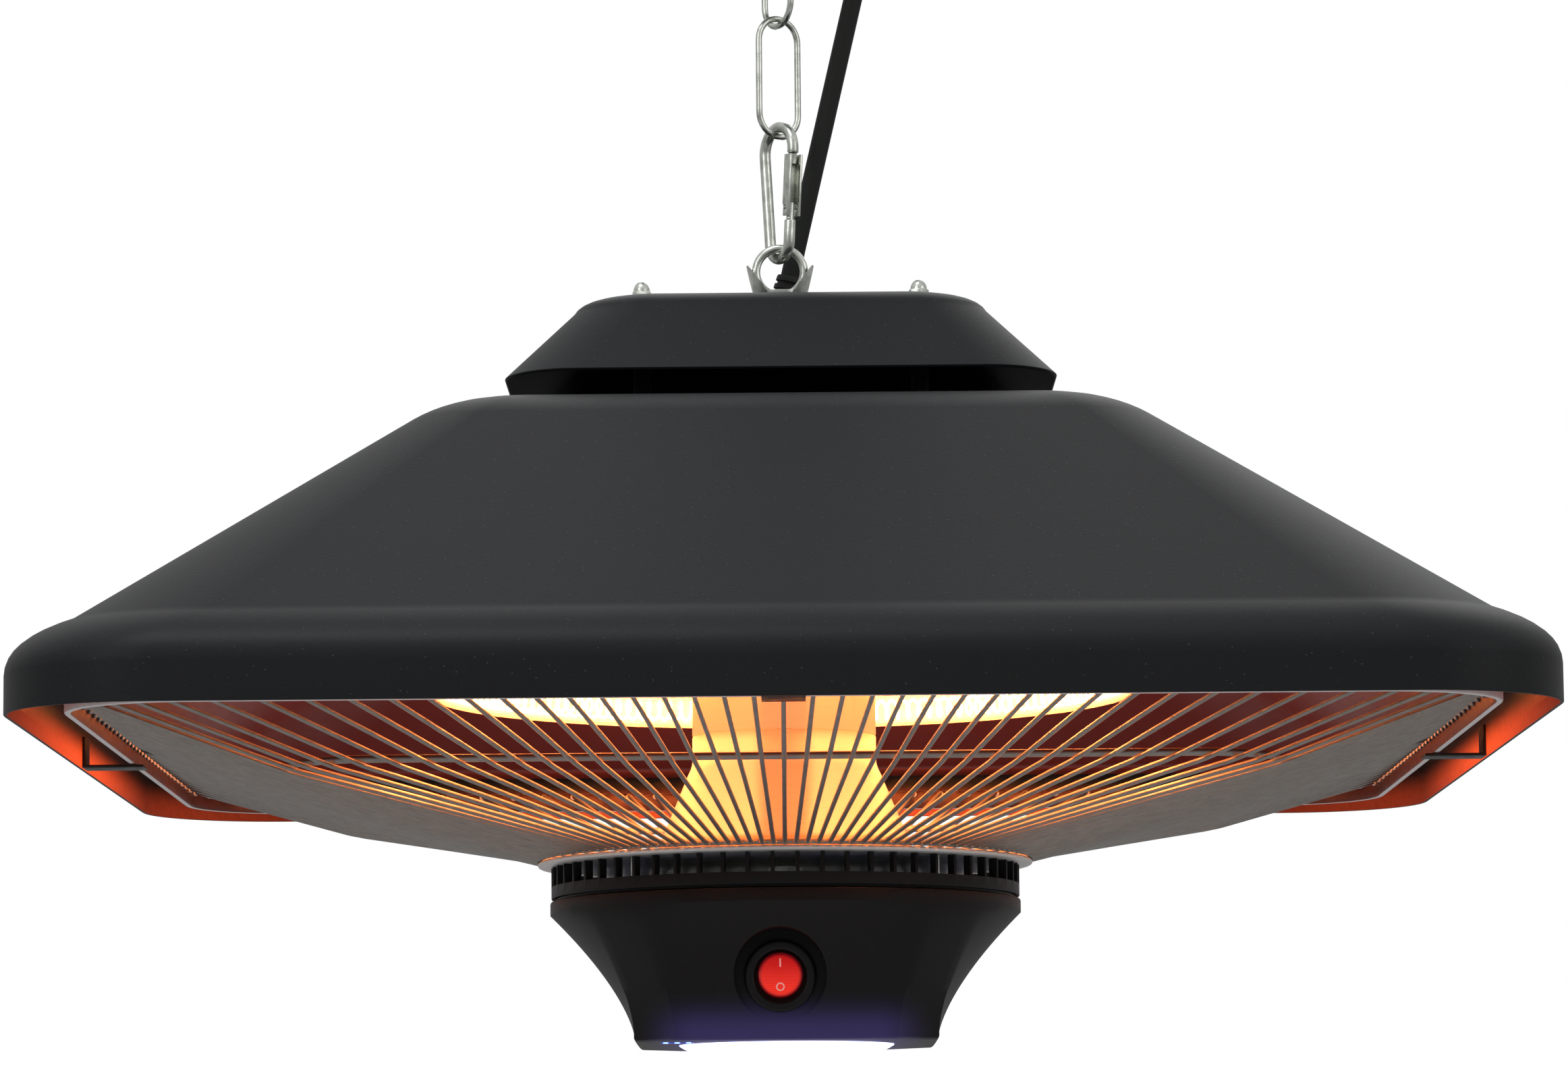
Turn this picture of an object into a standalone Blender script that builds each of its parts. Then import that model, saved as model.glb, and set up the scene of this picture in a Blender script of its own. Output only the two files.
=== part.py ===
"""Pendant ceiling heater: hood on a chain, ring-shaped heating tube, wire guard, housing with lamp and switch.

Metres, +Z up. The origin is the middle of the ceiling plate's top face, and everything hangs below it.
The heater itself is drawn about the plane of its hood's lower rim, and hangs at the height that the chain gives.
"""
import math

import bmesh
import bpy
from mathutils import Matrix, Vector

for old in list(bpy.data.objects):
    bpy.data.objects.remove(old, do_unlink=True)

# Clearances
SEAT = 0.0003
SLIP = 0.0003

# Ceiling plate, hook and grommet
PLATE_RADIUS = 0.055
PLATE_THICK = 0.003
PLATE_SCREW_CIRCLE = 0.044
PLATE_SCREW_HOLE = 0.0024
CEILING_HOOK_WIRE = 0.0040
CEILING_HOOK_RADIUS = 0.0105
CEILING_HOOK_SHANK = 0.012
CEILING_HOOK_NECK = math.radians(55)
CEILING_HOOK_GAP = math.radians(62)
GROMMET_RADIUS = 0.0075
GROMMET_LENGTH = 0.009

# Chain
LINK_WIRE = 0.0023
LINK_LENGTH = 0.0455
LINK_WIDTH = 0.0190

# Snap hook: pear-shaped, wide end up
HOOK_WIRE = 0.0040
HOOK_LENGTH = 0.0520
HOOK_TOP_RADIUS = 0.0090
HOOK_FOOT_RADIUS = 0.0060
HOOK_TURN = math.radians(-56)
STRAIGHT_TO_NECK = 0.0078
STRAIGHT_TO_PIN = 0.0121
STRAIGHT_TO_NOSE = 0.0320
GATE_BELOW_PIN = 0.0030
GATE_ABOVE_PIN = 0.0192
GATE_WEB_START = 0.0012
GATE_WIDTH = 0.0054
GATE_DEPTH = 0.0050
GATE_WALL = 0.0008
GATE_FOLD = 0.0012
GATE_PIN_RADIUS = 0.0006
STUB_RADIUS = 0.0014
STUB_RISE = 0.0018
NOSE_STUB = 0.0040
PIN_PROUD = 0.0002

# Lifting eye and its cup
EYE_WIRE = 0.0030
EYE_RADIUS = 0.0086
EYE_RISE = 0.0183
EYE_SHANK = 0.0030
CUP_FOOT_RADIUS = 0.0062
CUP_TOP_RADIUS = 0.0121
CUP_HEIGHT = 0.0203
CUP_WALL = 0.0008
CUP_NOTCH_FLOOR = 0.0105
CUP_NOTCH_FOOT = 0.0046
CUP_NOTCH_TOP = 0.0116
EYE_NUT_RADIUS = 0.0064
EYE_NUT_HEIGHT = 0.0045

# Top cap
CAP_TOP_HALF = 0.0658
CAP_TOP_CORNER = 0.0210
CAP_RIM_HALF = 0.0948
CAP_RIM_CORNER = 0.0275
CAP_TOP_HEIGHT = 0.1586
CAP_RIM_HEIGHT = 0.1272
CAP_EDGE_ROUND = 0.0080
CAP_EDGE_FOOT_SHARE = 0.75
CAP_EDGE_MIDDLE_DROP = 0.28
CAP_EDGE_MIDDLE_REACH = 0.12
CAP_SHEET = 0.0012
CAP_BOLT_OFFSET = 0.0485
BOLT_RADIUS = 0.0017
SPACER_RADIUS = 0.0031
NUT_ACROSS = 0.0064
NUT_HEX_HEIGHT = 0.0030
NUT_DOME_HEIGHT = 0.0036

# Hood
RIM_HALF = 0.2500
RIM_CORNER = 0.0510
SKIRT_HEIGHT = 0.0127
SHOULDER_DRAW = 0.0186
SHOULDER_HALF = RIM_HALF - SHOULDER_DRAW
SHOULDER_HEIGHT = 0.0319
SHOULDER_SHARES = (0.30, 0.55, 0.78)
CROWN_HALF = 0.1230
CROWN_HEIGHT = 0.1108
CROWN_CORNER = 0.0245
HOOD_TOP_HALF = 0.1035
HOOD_TOP_HEIGHT = 0.1176
HOOD_MOUTH = 0.0380
HOOD_SHEET = 0.0012

# Chassis: hat-shaped strap between hood and reflector
CHASSIS_HALF = 0.0620
CHASSIS_FOOT = 0.0160
CHASSIS_SHEET = 0.0015
ROD_RADIUS = 0.0030
ROD_NUT_HEIGHT = 0.0045
WIRE_HOLE = 0.0060

# Reflector
REFLECTOR_SHEET = 0.0010
REFLECTOR_TOP_HEIGHT = 0.0850
REFLECTOR_TOP_HALF = 0.1000
REFLECTOR_TOP_CORNER = 0.0280
REFLECTOR_LIP = 0.0230
REFLECTOR_EDGE_GAP = 0.0018
REFLECTOR_RIM_HALF = RIM_HALF - HOOD_SHEET - REFLECTOR_EDGE_GAP - REFLECTOR_LIP
REFLECTOR_RIM_HEIGHT = 0.0165
REFLECTOR_RIM_CORNER = 0.0400
THROAT_SLIP = 0.0012

# Centre column and cone
COLUMN_RADIUS = 0.0326
COLUMN_WALL = 0.0010
COLUMN_FOOT_HEIGHT = 0.0098
CONE_NECK_HEIGHT = 0.0015
CONE_FOOT_RADIUS = 0.0470

# Heating ring
RING_RADIUS = 0.1230
RING_HEIGHT = 0.0300
TUBE_RADIUS = 0.0062
TUBE_BORE = 0.0050
TUBE_GAP_HALF_ANGLE = math.radians(11)
COIL_RADIUS = 0.0034
COIL_WIRE = 0.00055
COIL_TURNS = 26
COIL_POINTS = 8
END_CAP_RADIUS = 0.0082
END_CAP_LENGTH = 0.0150
END_CAP_SOCKET = 0.0060
END_CAP_SLIP = 0.0007
HOLDER_WIDTH = 0.0080
HOLDER_SHEET = 0.0012
HOLDER_ANGLES = (90, 205, 335)
HOLDER_LEAN = 0.0285
HOLDER_FOOT = 0.0100

# Guard
WIRE_COUNT = 144
GUARD_WIRE = 0.0017
RIM_TO_FRAME = 0.0180
FRAME_HALF = RIM_HALF - RIM_TO_FRAME
FRAME_CORNER = 0.0440
FRAME_BAND = 0.0022
FRAME_HEIGHT = 0.0070
FRAME_FOOT_HEIGHT = 0.0015
MIDDLE_HALF = 0.1641
MIDDLE_CORNER = 0.0300
MIDDLE_HEIGHT = -0.0113
MIDDLE_WIRE_RADIUS = 0.0013
INNER_RADIUS = 0.0860
INNER_BAND = 0.0022
CLIP_WIDTH = 0.0140
CLIP_SHEET = 0.0010
CLIP_LIP = 0.0030
CLIP_HEAD_DROP = 0.0015

# Hub plate, vent ring and housing
HUB_RADIUS = 0.0875
HUB_TOP_HEIGHT = -0.0350
HUB_SHEET = 0.0015
VENT_RADIUS = 0.0828
VENT_WALL = 0.0030
VENT_BAND_TOP = -0.0436
VENT_FOOT = -0.0478
VENT_LEDGE_RADIUS = 0.0680
VENT_LEDGE = 0.0016
VENT_SPIGOT_RADIUS = 0.0810
RIB_COUNT = 60
RIB_SHARE = 0.14
HOUSING_RADIUS = 0.0832
HOUSING_TOP = -0.0489
FLANGE_FOOT = -0.0535
HOUSING_FOOT = -0.0995
FOOT_HALF = 0.0530
FOOT_CHAMFER = 0.0140
FLARE_POWER = 1.55
HOUSING_WALL = 0.0022
HOUSING_LEDGE = 0.0026
SCREW_CIRCLE = 0.0735
SCREW_RADIUS = 0.0015
SCREW_HEAD_RADIUS = 0.0030
SCREW_HEAD_HEIGHT = 0.0020

# Switch
SWITCH_X = -0.0020
SWITCH_HEIGHT = -0.0778
POCKET_RADIUS = 0.0160
POCKET_FLOOR_Y = -0.0545
BEZEL_RADIUS = 0.0125
BEZEL_THICK = 0.0026
BARREL_RADIUS = 0.0098
BARREL_LENGTH = 0.0180
ROCKER_RADIUS = 0.0077
ROCKER_THICK = 0.0040
ROCKER_SLIP = 0.0012
ROCKER_SWING = math.radians(14)

# Lamp
LENS_RADIUS = 0.0380
LENS_BULGE = 0.0060
LENS_RIM = 0.0020
LENS_FLANGE = 0.0030
LENS_WALL = 0.0018
LAMP_BOARD_PROUD = 0.0015
LAMP_BOARD_THICK = 0.0016
WINDOW_X = -0.0380
WINDOW_Y = -0.0330
WINDOW_LENGTH = 0.0120
WINDOW_WIDTH = 0.0032

# Boards inside the housing
BOARD_HALF = 0.0440
BOARD_HEIGHT = -0.0640
BOARD_THICK = 0.0016
POST_X = 0.0400
POST_Y = 0.0280
POST_RADIUS = 0.0030
TRANSFORMER_SIZE = (0.0280, 0.0340, 0.0180)
TRANSFORMER_X = 0.0220

# Mains lead: its foot on the cap and its head at the ceiling, both beside the chain
LEAD_RADIUS = 0.0034
GLAND_X = -0.0010
GLAND_Y = 0.0185
GLAND_LENGTH = 0.0200
GLAND_FOOT_RADIUS = 0.0060
GLAND_HEAD_RADIUS = 0.0046
GLAND_NECK_RADIUS = 0.0056
GLAND_COLLAR_DEPTH = 0.0050
GLAND_LIP = 0.0016
GLAND_BASE = 0.0030
LEAD_TAIL = 0.0100
LEAD_HEAD_X = 0.0366
LEAD_HEAD_Y = 0.0120

# Heights that follow from the sizes above, counted from the hood's rim plane
EYE_HEIGHT = CAP_TOP_HEIGHT + EYE_RISE
HOOK_BAR_HEIGHT = EYE_HEIGHT + EYE_RADIUS - EYE_WIRE / 2 - SEAT - HOOK_WIRE / 2
HOOK_RISE = HOOK_LENGTH - HOOK_WIRE
LINK_RISE = LINK_LENGTH - LINK_WIRE
LOWER_LINK_BAR = HOOK_BAR_HEIGHT + HOOK_RISE - HOOK_WIRE / 2 - SEAT - LINK_WIRE / 2
UPPER_LINK_BAR = LOWER_LINK_BAR + LINK_RISE - LINK_WIRE - SEAT
CEILING_BAR = UPPER_LINK_BAR + LINK_RISE - LINK_WIRE / 2 - SEAT - CEILING_HOOK_WIRE / 2
CEILING_UNDER = CEILING_BAR + 2 * CEILING_HOOK_RADIUS + CEILING_HOOK_SHANK
RIM_Z = -(CEILING_UNDER + PLATE_THICK)
LINK_TURN = HOOK_TURN + math.pi / 2
HOOK_CENTRES = HOOK_RISE - HOOK_TOP_RADIUS - HOOK_FOOT_RADIUS
HOOK_STRAIGHT_LEAN = math.asin((HOOK_TOP_RADIUS - HOOK_FOOT_RADIUS) / HOOK_CENTRES)
INNER_HEIGHT = HUB_TOP_HEIGHT + SEAT


def finish(colour, roughness, metallic=0.0, glow=0.0, alpha=1.0):
    """The look of one kind of surface."""
    return {"colour": colour, "roughness": roughness, "metallic": metallic, "glow": glow, "alpha": alpha}


BLACK_PAINT = finish((0.030, 0.034, 0.038), 0.55)
BLACK_PLASTIC = finish((0.020, 0.020, 0.021), 0.45)
BLACK_RUBBER = finish((0.018, 0.019, 0.019), 0.60)
ZINC = finish((0.62, 0.64, 0.62), 0.28, 1.0)
STEEL_WIRE = finish((0.42, 0.42, 0.40), 0.35, 1.0)
PALE_STEEL = finish((0.68, 0.67, 0.66), 0.40, 0.6)
BRIGHT_ALUMINIUM = finish((0.86, 0.83, 0.78), 0.15, 1.0)
GALVANISED = finish((0.55, 0.56, 0.57), 0.45, 0.9)
CERAMIC = finish((0.82, 0.79, 0.72), 0.60)
QUARTZ = finish((0.95, 0.90, 0.85), 0.05, 0.0, 0.0, 0.35)
HOT_WIRE = finish((1.0, 0.55, 0.18), 0.5, 0.0, 4.0)
BOARD_GREEN = finish((0.05, 0.22, 0.10), 0.5)
TRANSFORMER_BLUE = finish((0.06, 0.10, 0.28), 0.5)
LAMP_WHITE = finish((0.95, 0.96, 1.0), 0.3, 0.0, 1.5)
ROCKER_RED = finish((0.85, 0.02, 0.02), 0.25, 0.0, 1.0)
INDICATOR_BLUE = finish((0.10, 0.15, 0.95), 0.2, 0.0, 1.0)


def make_material(name, look):
    """A Principled material of its own for one object."""
    material = bpy.data.materials.new(name)
    material.use_nodes = True
    shader = material.node_tree.nodes["Principled BSDF"]
    shader.inputs["Base Color"].default_value = (*look["colour"], 1.0)
    shader.inputs["Roughness"].default_value = look["roughness"]
    shader.inputs["Metallic"].default_value = look["metallic"]
    shader.inputs["Alpha"].default_value = look["alpha"]
    shader.inputs["Emission Color"].default_value = (*look["colour"], 1.0)
    shader.inputs["Emission Strength"].default_value = look["glow"]
    return material


def empty(name, parent, location, turn=0.0, lean=0.0):
    """An empty that carries other objects, leaned about Y and turned about Z."""
    holder = bpy.data.objects.new(name, None)
    bpy.context.scene.collection.objects.link(holder)
    holder.parent = parent
    holder.location = location
    holder.rotation_euler = (0.0, lean, turn)
    return holder


def put(name, data, look, parent, location=(0, 0, 0), rotation=(0, 0, 0)):
    """Link one object, with its own material, under its parent."""
    body = bpy.data.objects.new(name, data)
    bpy.context.scene.collection.objects.link(body)
    body.parent = parent
    body.location = location
    body.rotation_euler = rotation
    data.materials.clear()
    data.materials.append(make_material(name + "_finish", look))
    return body


def put_mesh(name, bm, look, parent, location=(0, 0, 0), rotation=(0, 0, 0), smooth=35):
    """Turn a closed bmesh into an object with its faces pointing out."""
    bmesh.ops.recalc_face_normals(bm, faces=bm.faces)
    mesh = bpy.data.meshes.new(name)
    bm.to_mesh(mesh)
    bm.free()
    mesh.shade_smooth()
    mesh.set_sharp_from_angle(angle=math.radians(smooth))
    return put(name, mesh, look, parent, location, rotation)


def cutter(name, bm, parent, location=(0, 0, 0), rotation=(0, 0, 0)):
    """A solid that only cuts others, left out of the model."""
    body = put_mesh(name, bm, BLACK_RUBBER, parent, location, rotation)
    body.hide_render = True
    body.display_type = 'WIRE'
    return body


def boolean(body, other, operation='DIFFERENCE'):
    """Cut or join another solid."""
    modifier = body.modifiers.new(operation.lower() + "_" + other.name, 'BOOLEAN')
    modifier.operation = operation
    modifier.object = other
    modifier.solver = 'EXACT'
    return modifier


def turned(outline, steps, closed=True):
    """A solid of revolution about Z from (radius, height) points; an open outline starts and ends on the axis."""
    bm = bmesh.new()
    verts = [bm.verts.new((radius, 0.0, height)) for radius, height in outline]
    pairs = list(zip(verts, verts[1:] + verts[:1])) if closed else list(zip(verts, verts[1:]))
    edges = [bm.edges.new(pair) for pair in pairs]
    bmesh.ops.spin(bm, geom=verts + edges, cent=(0, 0, 0), axis=(0, 0, 1), angle=2 * math.pi,
                   steps=steps, use_merge=True)
    bmesh.ops.remove_doubles(bm, verts=bm.verts, dist=1e-6)
    return bm


def round_loop(radius, height, steps):
    """Points round a circle about Z."""
    return [(radius * math.cos(a), radius * math.sin(a), height)
            for a in (2 * math.pi * k / steps for k in range(steps))]


def stack(rows, steps):
    """A solid with one flat face at each end, from (radius, height) circles."""
    return loft([round_loop(radius, height, steps) for radius, height in rows], capped=True)


def cylinder(radius, low, high, steps=12):
    """A plain cylinder along Z."""
    return stack([(radius, low), (radius, high)], steps)


def block(low, high):
    """A rectangular block from its lowest to its highest corner."""
    bm = bmesh.new()
    size = [b - a for a, b in zip(low, high)]
    middle = [(a + b) / 2 for a, b in zip(low, high)]
    bmesh.ops.create_cube(bm, size=1.0, matrix=Matrix.Translation(middle) @ Matrix.Diagonal((*size, 1.0)))
    return bm


def square_loop(half, corner, height, arc_steps=5):
    """Points round a square with rounded corners, seen from above, against the clock."""
    points = []
    for quarter in range(4):
        centre = Vector((half - corner, half - corner, 0.0))
        for step in range(arc_steps + 1):
            angle = math.radians(90) * step / arc_steps
            point = centre + Vector((math.cos(angle), math.sin(angle), 0.0)) * corner
            point = Matrix.Rotation(quarter * math.pi / 2, 3, 'Z') @ point
            points.append((point.x, point.y, height))
    return points


def loft(loops, closed=False, capped=False):
    """Skin a stack of loops with equal counts; closed joins the last to the first, capped fills the ends."""
    bm = bmesh.new()
    rows = [[bm.verts.new(point) for point in loop] for loop in loops]
    stack = rows + rows[:1] if closed else rows
    for lower, upper in zip(stack, stack[1:]):
        for k in range(len(lower)):
            n = (k + 1) % len(lower)
            bm.faces.new((lower[k], lower[n], upper[n], upper[k]))
    if capped:
        bm.faces.new(rows[0][::-1])
        bm.faces.new(rows[-1])
    return bm


def prism(outline, depth):
    """A flat outline in XZ pushed out along Y, half of the depth to each side."""
    front = [(x, -depth / 2, z) for x, z in outline]
    back = [(x, depth / 2, z) for x, z in outline]
    return loft([front, back], capped=True)


def ribbon(pairs, depth):
    """A strip along Y built from pairs of (x, z) points, one on each of its two faces."""
    loops = [[(a[0], -depth / 2, a[1]), (b[0], -depth / 2, b[1]), (b[0], depth / 2, b[1]), (a[0], depth / 2, a[1])]
             for a, b in pairs]
    return loft(loops, capped=True)


def folded(path, thickness, depth):
    """A folded strip of sheet along Y whose middle follows (x, z) points, with mitred folds."""
    pairs = []
    for k, point in enumerate(path):
        here = Vector(point)
        into = (here - Vector(path[k - 1])).normalized() if k else None
        out = (Vector(path[k + 1]) - here).normalized() if k < len(path) - 1 else None
        into = into or out
        out = out or into
        normal = Vector((-into.y - out.y, into.x + out.x)).normalized()
        reach = thickness / 2 / normal.dot(Vector((-into.y, into.x)))
        pairs.append((tuple(here + normal * reach), tuple(here - normal * reach)))
    return ribbon(pairs, depth)


def sheet(name, loops, thickness, look, parent):
    """A pressed sheet: an open skin given its thickness on the inside."""
    body = put_mesh(name, loft(loops), look, parent, smooth=40)
    solid = body.modifiers.new("sheet", 'SOLIDIFY')
    solid.thickness = thickness
    solid.offset = -1.0
    solid.use_even_offset = True
    return body


def tube(points, radius, sides=8, cyclic=False):
    """A round bar along a list of points, its rings carried along without twist; one radius, or one a point."""
    path = [Vector(point) for point in points]
    count = len(path)
    radii = radius if isinstance(radius, list) else [radius] * count
    loops = []
    side = None
    for k in range(count):
        before = path[k - 1] if cyclic or k else path[k]
        after = path[(k + 1) % count] if cyclic or k < count - 1 else path[k]
        heading = (after - before).normalized()
        if side is None:
            side = heading.cross(Vector((0.0, 1.0, 0.0)))
            if side.length < 0.1:
                side = heading.cross(Vector((0.0, 0.0, 1.0)))
        side = (side - heading * side.dot(heading)).normalized()
        other = heading.cross(side)
        loops.append([tuple(path[k] + (side * math.cos(a) + other * math.sin(a)) * radii[k])
                      for a in (2 * math.pi * i / sides for i in range(sides))])
    return loft(loops, closed=cyclic, capped=not cyclic)


def wire(name, points, radius, look, parent, cyclic=False, sides=8, location=(0, 0, 0), rotation=(0, 0, 0)):
    """A piece of bent round wire."""
    return put_mesh(name, tube(points, radius, sides, cyclic), look, parent, location, rotation, smooth=50)


def cord(name, points, radius, look, parent):
    """A flexible lead as a bevelled curve with filled ends."""
    curve = bpy.data.curves.new(name, 'CURVE')
    curve.dimensions = '3D'
    curve.bevel_depth = radius
    curve.bevel_resolution = 3
    curve.use_fill_caps = True
    spline = curve.splines.new('POLY')
    spline.points.add(len(points) - 1)
    for slot, point in zip(spline.points, points):
        slot.co = (*point, 1.0)
    return put(name, curve, look, parent)


def smooth_route(route, count):
    """Read evenly spaced points from one smooth curve through the route's points."""
    knots = [Vector(point) for point in route]
    padded = [2 * knots[0] - knots[1]] + knots + [2 * knots[-1] - knots[-2]]
    fine = []
    for i in range(1, len(padded) - 2):
        p0, p1, p2, p3 = padded[i - 1:i + 3]
        for step in range(24):
            t = step / 24
            fine.append(0.5 * (2 * p1 + (p2 - p0) * t + (2 * p0 - 5 * p1 + 4 * p2 - p3) * t * t
                               + (3 * p1 - p0 - 3 * p2 + p3) * t * t * t))
    fine.append(knots[-1])
    reach = [0.0]
    for a, b in zip(fine, fine[1:]):
        reach.append(reach[-1] + (b - a).length)
    points = []
    k = 0
    for i in range(count):
        goal = reach[-1] * i / (count - 1)
        while k < len(reach) - 2 and reach[k + 1] < goal:
            k += 1
        share = (goal - reach[k]) / (reach[k + 1] - reach[k])
        points.append(tuple(fine[k].lerp(fine[k + 1], min(max(share, 0.0), 1.0))))
    return points


def arc(centre, radius, start, stop, steps):
    """Points (x, z) on an arc in the XZ plane."""
    return [(centre[0] + radius * math.cos(start + (stop - start) * k / steps),
             centre[1] + radius * math.sin(start + (stop - start) * k / steps)) for k in range(steps + 1)]


# Frames of the moving bodies; each empty sits on its own joint's axis
ceiling = empty("ceiling_frame", None, (0, 0, 0))
upper_pivot = empty("upper_link_pivot", ceiling, (0, 0, RIM_Z + CEILING_BAR), HOOK_TURN)
lower_pivot = empty("lower_link_pivot", upper_pivot, (0, 0, UPPER_LINK_BAR - CEILING_BAR), LINK_TURN - HOOK_TURN)
hook_pivot = empty("snap_hook_pivot", lower_pivot, (0, 0, LOWER_LINK_BAR - UPPER_LINK_BAR), HOOK_TURN - LINK_TURN)
heater_pivot = empty("heater_pivot", hook_pivot, (0, 0, HOOK_BAR_HEIGHT - LOWER_LINK_BAR), -HOOK_TURN)
heater = empty("heater_frame", heater_pivot, (0, 0, -HOOK_BAR_HEIGHT))


def build_ceiling():
    """Round plate screwed to the ceiling, with the hook that the chain hangs on and the lead's grommet."""
    edge = 0.0008
    plate = put_mesh("ceiling_plate", stack([(PLATE_RADIUS - edge, -PLATE_THICK), (PLATE_RADIUS, edge - PLATE_THICK),
                                             (PLATE_RADIUS, 0.0)], 36), GALVANISED, ceiling)
    for k in range(3):
        angle = math.radians(90 + 120 * k)
        spot = (PLATE_SCREW_CIRCLE * math.cos(angle), PLATE_SCREW_CIRCLE * math.sin(angle), 0.0)
        hole = cutter(f"plate_screw_hole_{k + 1}", cylinder(PLATE_SCREW_HOLE, -2 * PLATE_THICK, PLATE_THICK, 10),
                      ceiling, spot)
        boolean(plate, hole)
    lead_hole = cutter("plate_lead_hole", cylinder(GROMMET_RADIUS + SLIP, -2 * PLATE_THICK, PLATE_THICK, 16),
                       ceiling, (LEAD_HEAD_X, LEAD_HEAD_Y, 0.0))
    boolean(plate, lead_hole)
    ring_centre = (0.0, -PLATE_THICK - CEILING_HOOK_SHANK - CEILING_HOOK_RADIUS)
    bend = arc(ring_centre, CEILING_HOOK_RADIUS, CEILING_HOOK_NECK, math.radians(-270) + CEILING_HOOK_GAP, 14)
    shank = [(0.0, 0.0, -PLATE_THICK - SEAT), (0.0, 0.0, -PLATE_THICK - 0.3 * CEILING_HOOK_SHANK),
             (0.0, 0.0, -PLATE_THICK - 0.6 * CEILING_HOOK_SHANK)]
    points = smooth_route(shank + [(x, 0.0, z) for x, z in bend], 30)
    wire("ceiling_hook", points, CEILING_HOOK_WIRE / 2, ZINC, ceiling, rotation=(0, 0, LINK_TURN))
    lip = 0.0022
    under = -PLATE_THICK - SEAT
    bore = LEAD_RADIUS + SEAT
    grommet = [(bore, under - GROMMET_LENGTH), (GROMMET_RADIUS - 0.002, under - GROMMET_LENGTH),
               (GROMMET_RADIUS, under - 0.003), (GROMMET_RADIUS + lip, under - 0.0025),
               (GROMMET_RADIUS + lip, under), (GROMMET_RADIUS, under), (GROMMET_RADIUS, 0.0 - SEAT),
               (bore, 0.0 - SEAT)]
    put_mesh("ceiling_grommet", turned(grommet, 16), BLACK_RUBBER, ceiling, (LEAD_HEAD_X, LEAD_HEAD_Y, 0.0))


def build_link(name, parent, foot):
    """One welded chain link in its parent's XZ plane, its lower bar at the given height."""
    radius = (LINK_WIDTH - LINK_WIRE) / 2
    straight = LINK_RISE - 2 * radius
    low = arc((0.0, foot + radius), radius, math.radians(180), math.radians(360), 8)
    high = arc((0.0, foot + radius + straight), radius, 0.0, math.radians(180), 8)
    points = [(x, 0.0, z) for x, z in low + high]
    wire(name, points, LINK_WIRE / 2, ZINC, parent, cyclic=True)


def build_snap_hook():
    """Pear-shaped snap hook bent from one wire, with a sprung channel gate on a rivet.

    Both straights are the common tangents of the two bends. The gate takes the place of the front one, between
    two thinned ends of the wire that its channel closes round from inside.
    """
    lean = HOOK_STRAIGHT_LEAN
    top = (0.0, HOOK_RISE - HOOK_TOP_RADIUS)
    low = (0.0, HOOK_FOOT_RADIUS)
    foot = Vector((HOOK_FOOT_RADIUS * math.cos(lean), 0.0, HOOK_FOOT_RADIUS * (1 - math.sin(lean))))
    along = Vector((math.sin(lean), 0.0, math.cos(lean)))
    nose = foot + along * STRAIGHT_TO_NOSE
    neck = foot + along * STRAIGHT_TO_NECK
    pin = foot + along * STRAIGHT_TO_PIN
    upper = [(x, 0.0, z) for x, z in arc(top, HOOK_TOP_RADIUS, -lean, math.pi + lean, 12)]
    lower = [(x, 0.0, z) for x, z in arc(low, HOOK_FOOT_RADIUS, math.pi + lean, 2 * math.pi - lean, 10)]
    thin = STUB_RADIUS
    thick = HOOK_WIRE / 2
    points = [nose - along * NOSE_STUB, nose, nose] + upper + lower + [neck, neck, pin + along * STUB_RISE]
    radii = [thin, thin] + [thick] * (len(upper) + len(lower) + 2) + [thin, thin]
    frame = empty("snap_hook_frame", hook_pivot, (0, 0, HOOK_BAR_HEIGHT - LOWER_LINK_BAR))
    body = wire("snap_hook", points, radii, ZINC, frame, sides=10)
    pivot = empty("gate_pivot", frame, tuple(pin), lean=lean)
    sideways = (math.pi / 2, 0, 0)
    pin_hole = cutter("gate_pin_hole", cylinder(GATE_PIN_RADIUS + SLIP, -GATE_WIDTH, GATE_WIDTH, 10), pivot,
                      rotation=sideways)
    boolean(body, pin_hole)
    pin_half = GATE_WIDTH / 2 + PIN_PROUD
    put_mesh("gate_pin", cylinder(GATE_PIN_RADIUS, -pin_half, pin_half, 10), ZINC, pivot, rotation=sideways)
    inner = -GATE_DEPTH / 2
    outer = GATE_DEPTH / 2
    half = GATE_WIDTH / 2
    crook = GATE_FOLD - GATE_WALL / 2
    pairs = [((outer, -half), (outer, GATE_WALL - half)),
             ((inner + GATE_FOLD, -half), (inner + GATE_WALL + crook, GATE_WALL - half)),
             ((inner, GATE_FOLD - half), (inner + GATE_WALL, GATE_WALL + crook - half))]
    pairs += [((a[0], -a[1]), (b[0], -b[1])) for a, b in pairs[::-1]]
    low = -GATE_BELOW_PIN
    loops = [[(*a, low), (*b, low), (*b, GATE_ABOVE_PIN), (*a, GATE_ABOVE_PIN)] for a, b in pairs]
    gate = put_mesh("hook_gate", loft(loops, capped=True), ZINC, pivot)
    boolean(gate, pin_hole)
    web = block((inner - 0.002, -GATE_WIDTH, -GATE_BELOW_PIN - 0.002),
                (inner + GATE_WALL + crook + 0.0001, GATE_WIDTH, GATE_WEB_START))
    boolean(gate, cutter("gate_web_cut", web, pivot))


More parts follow.
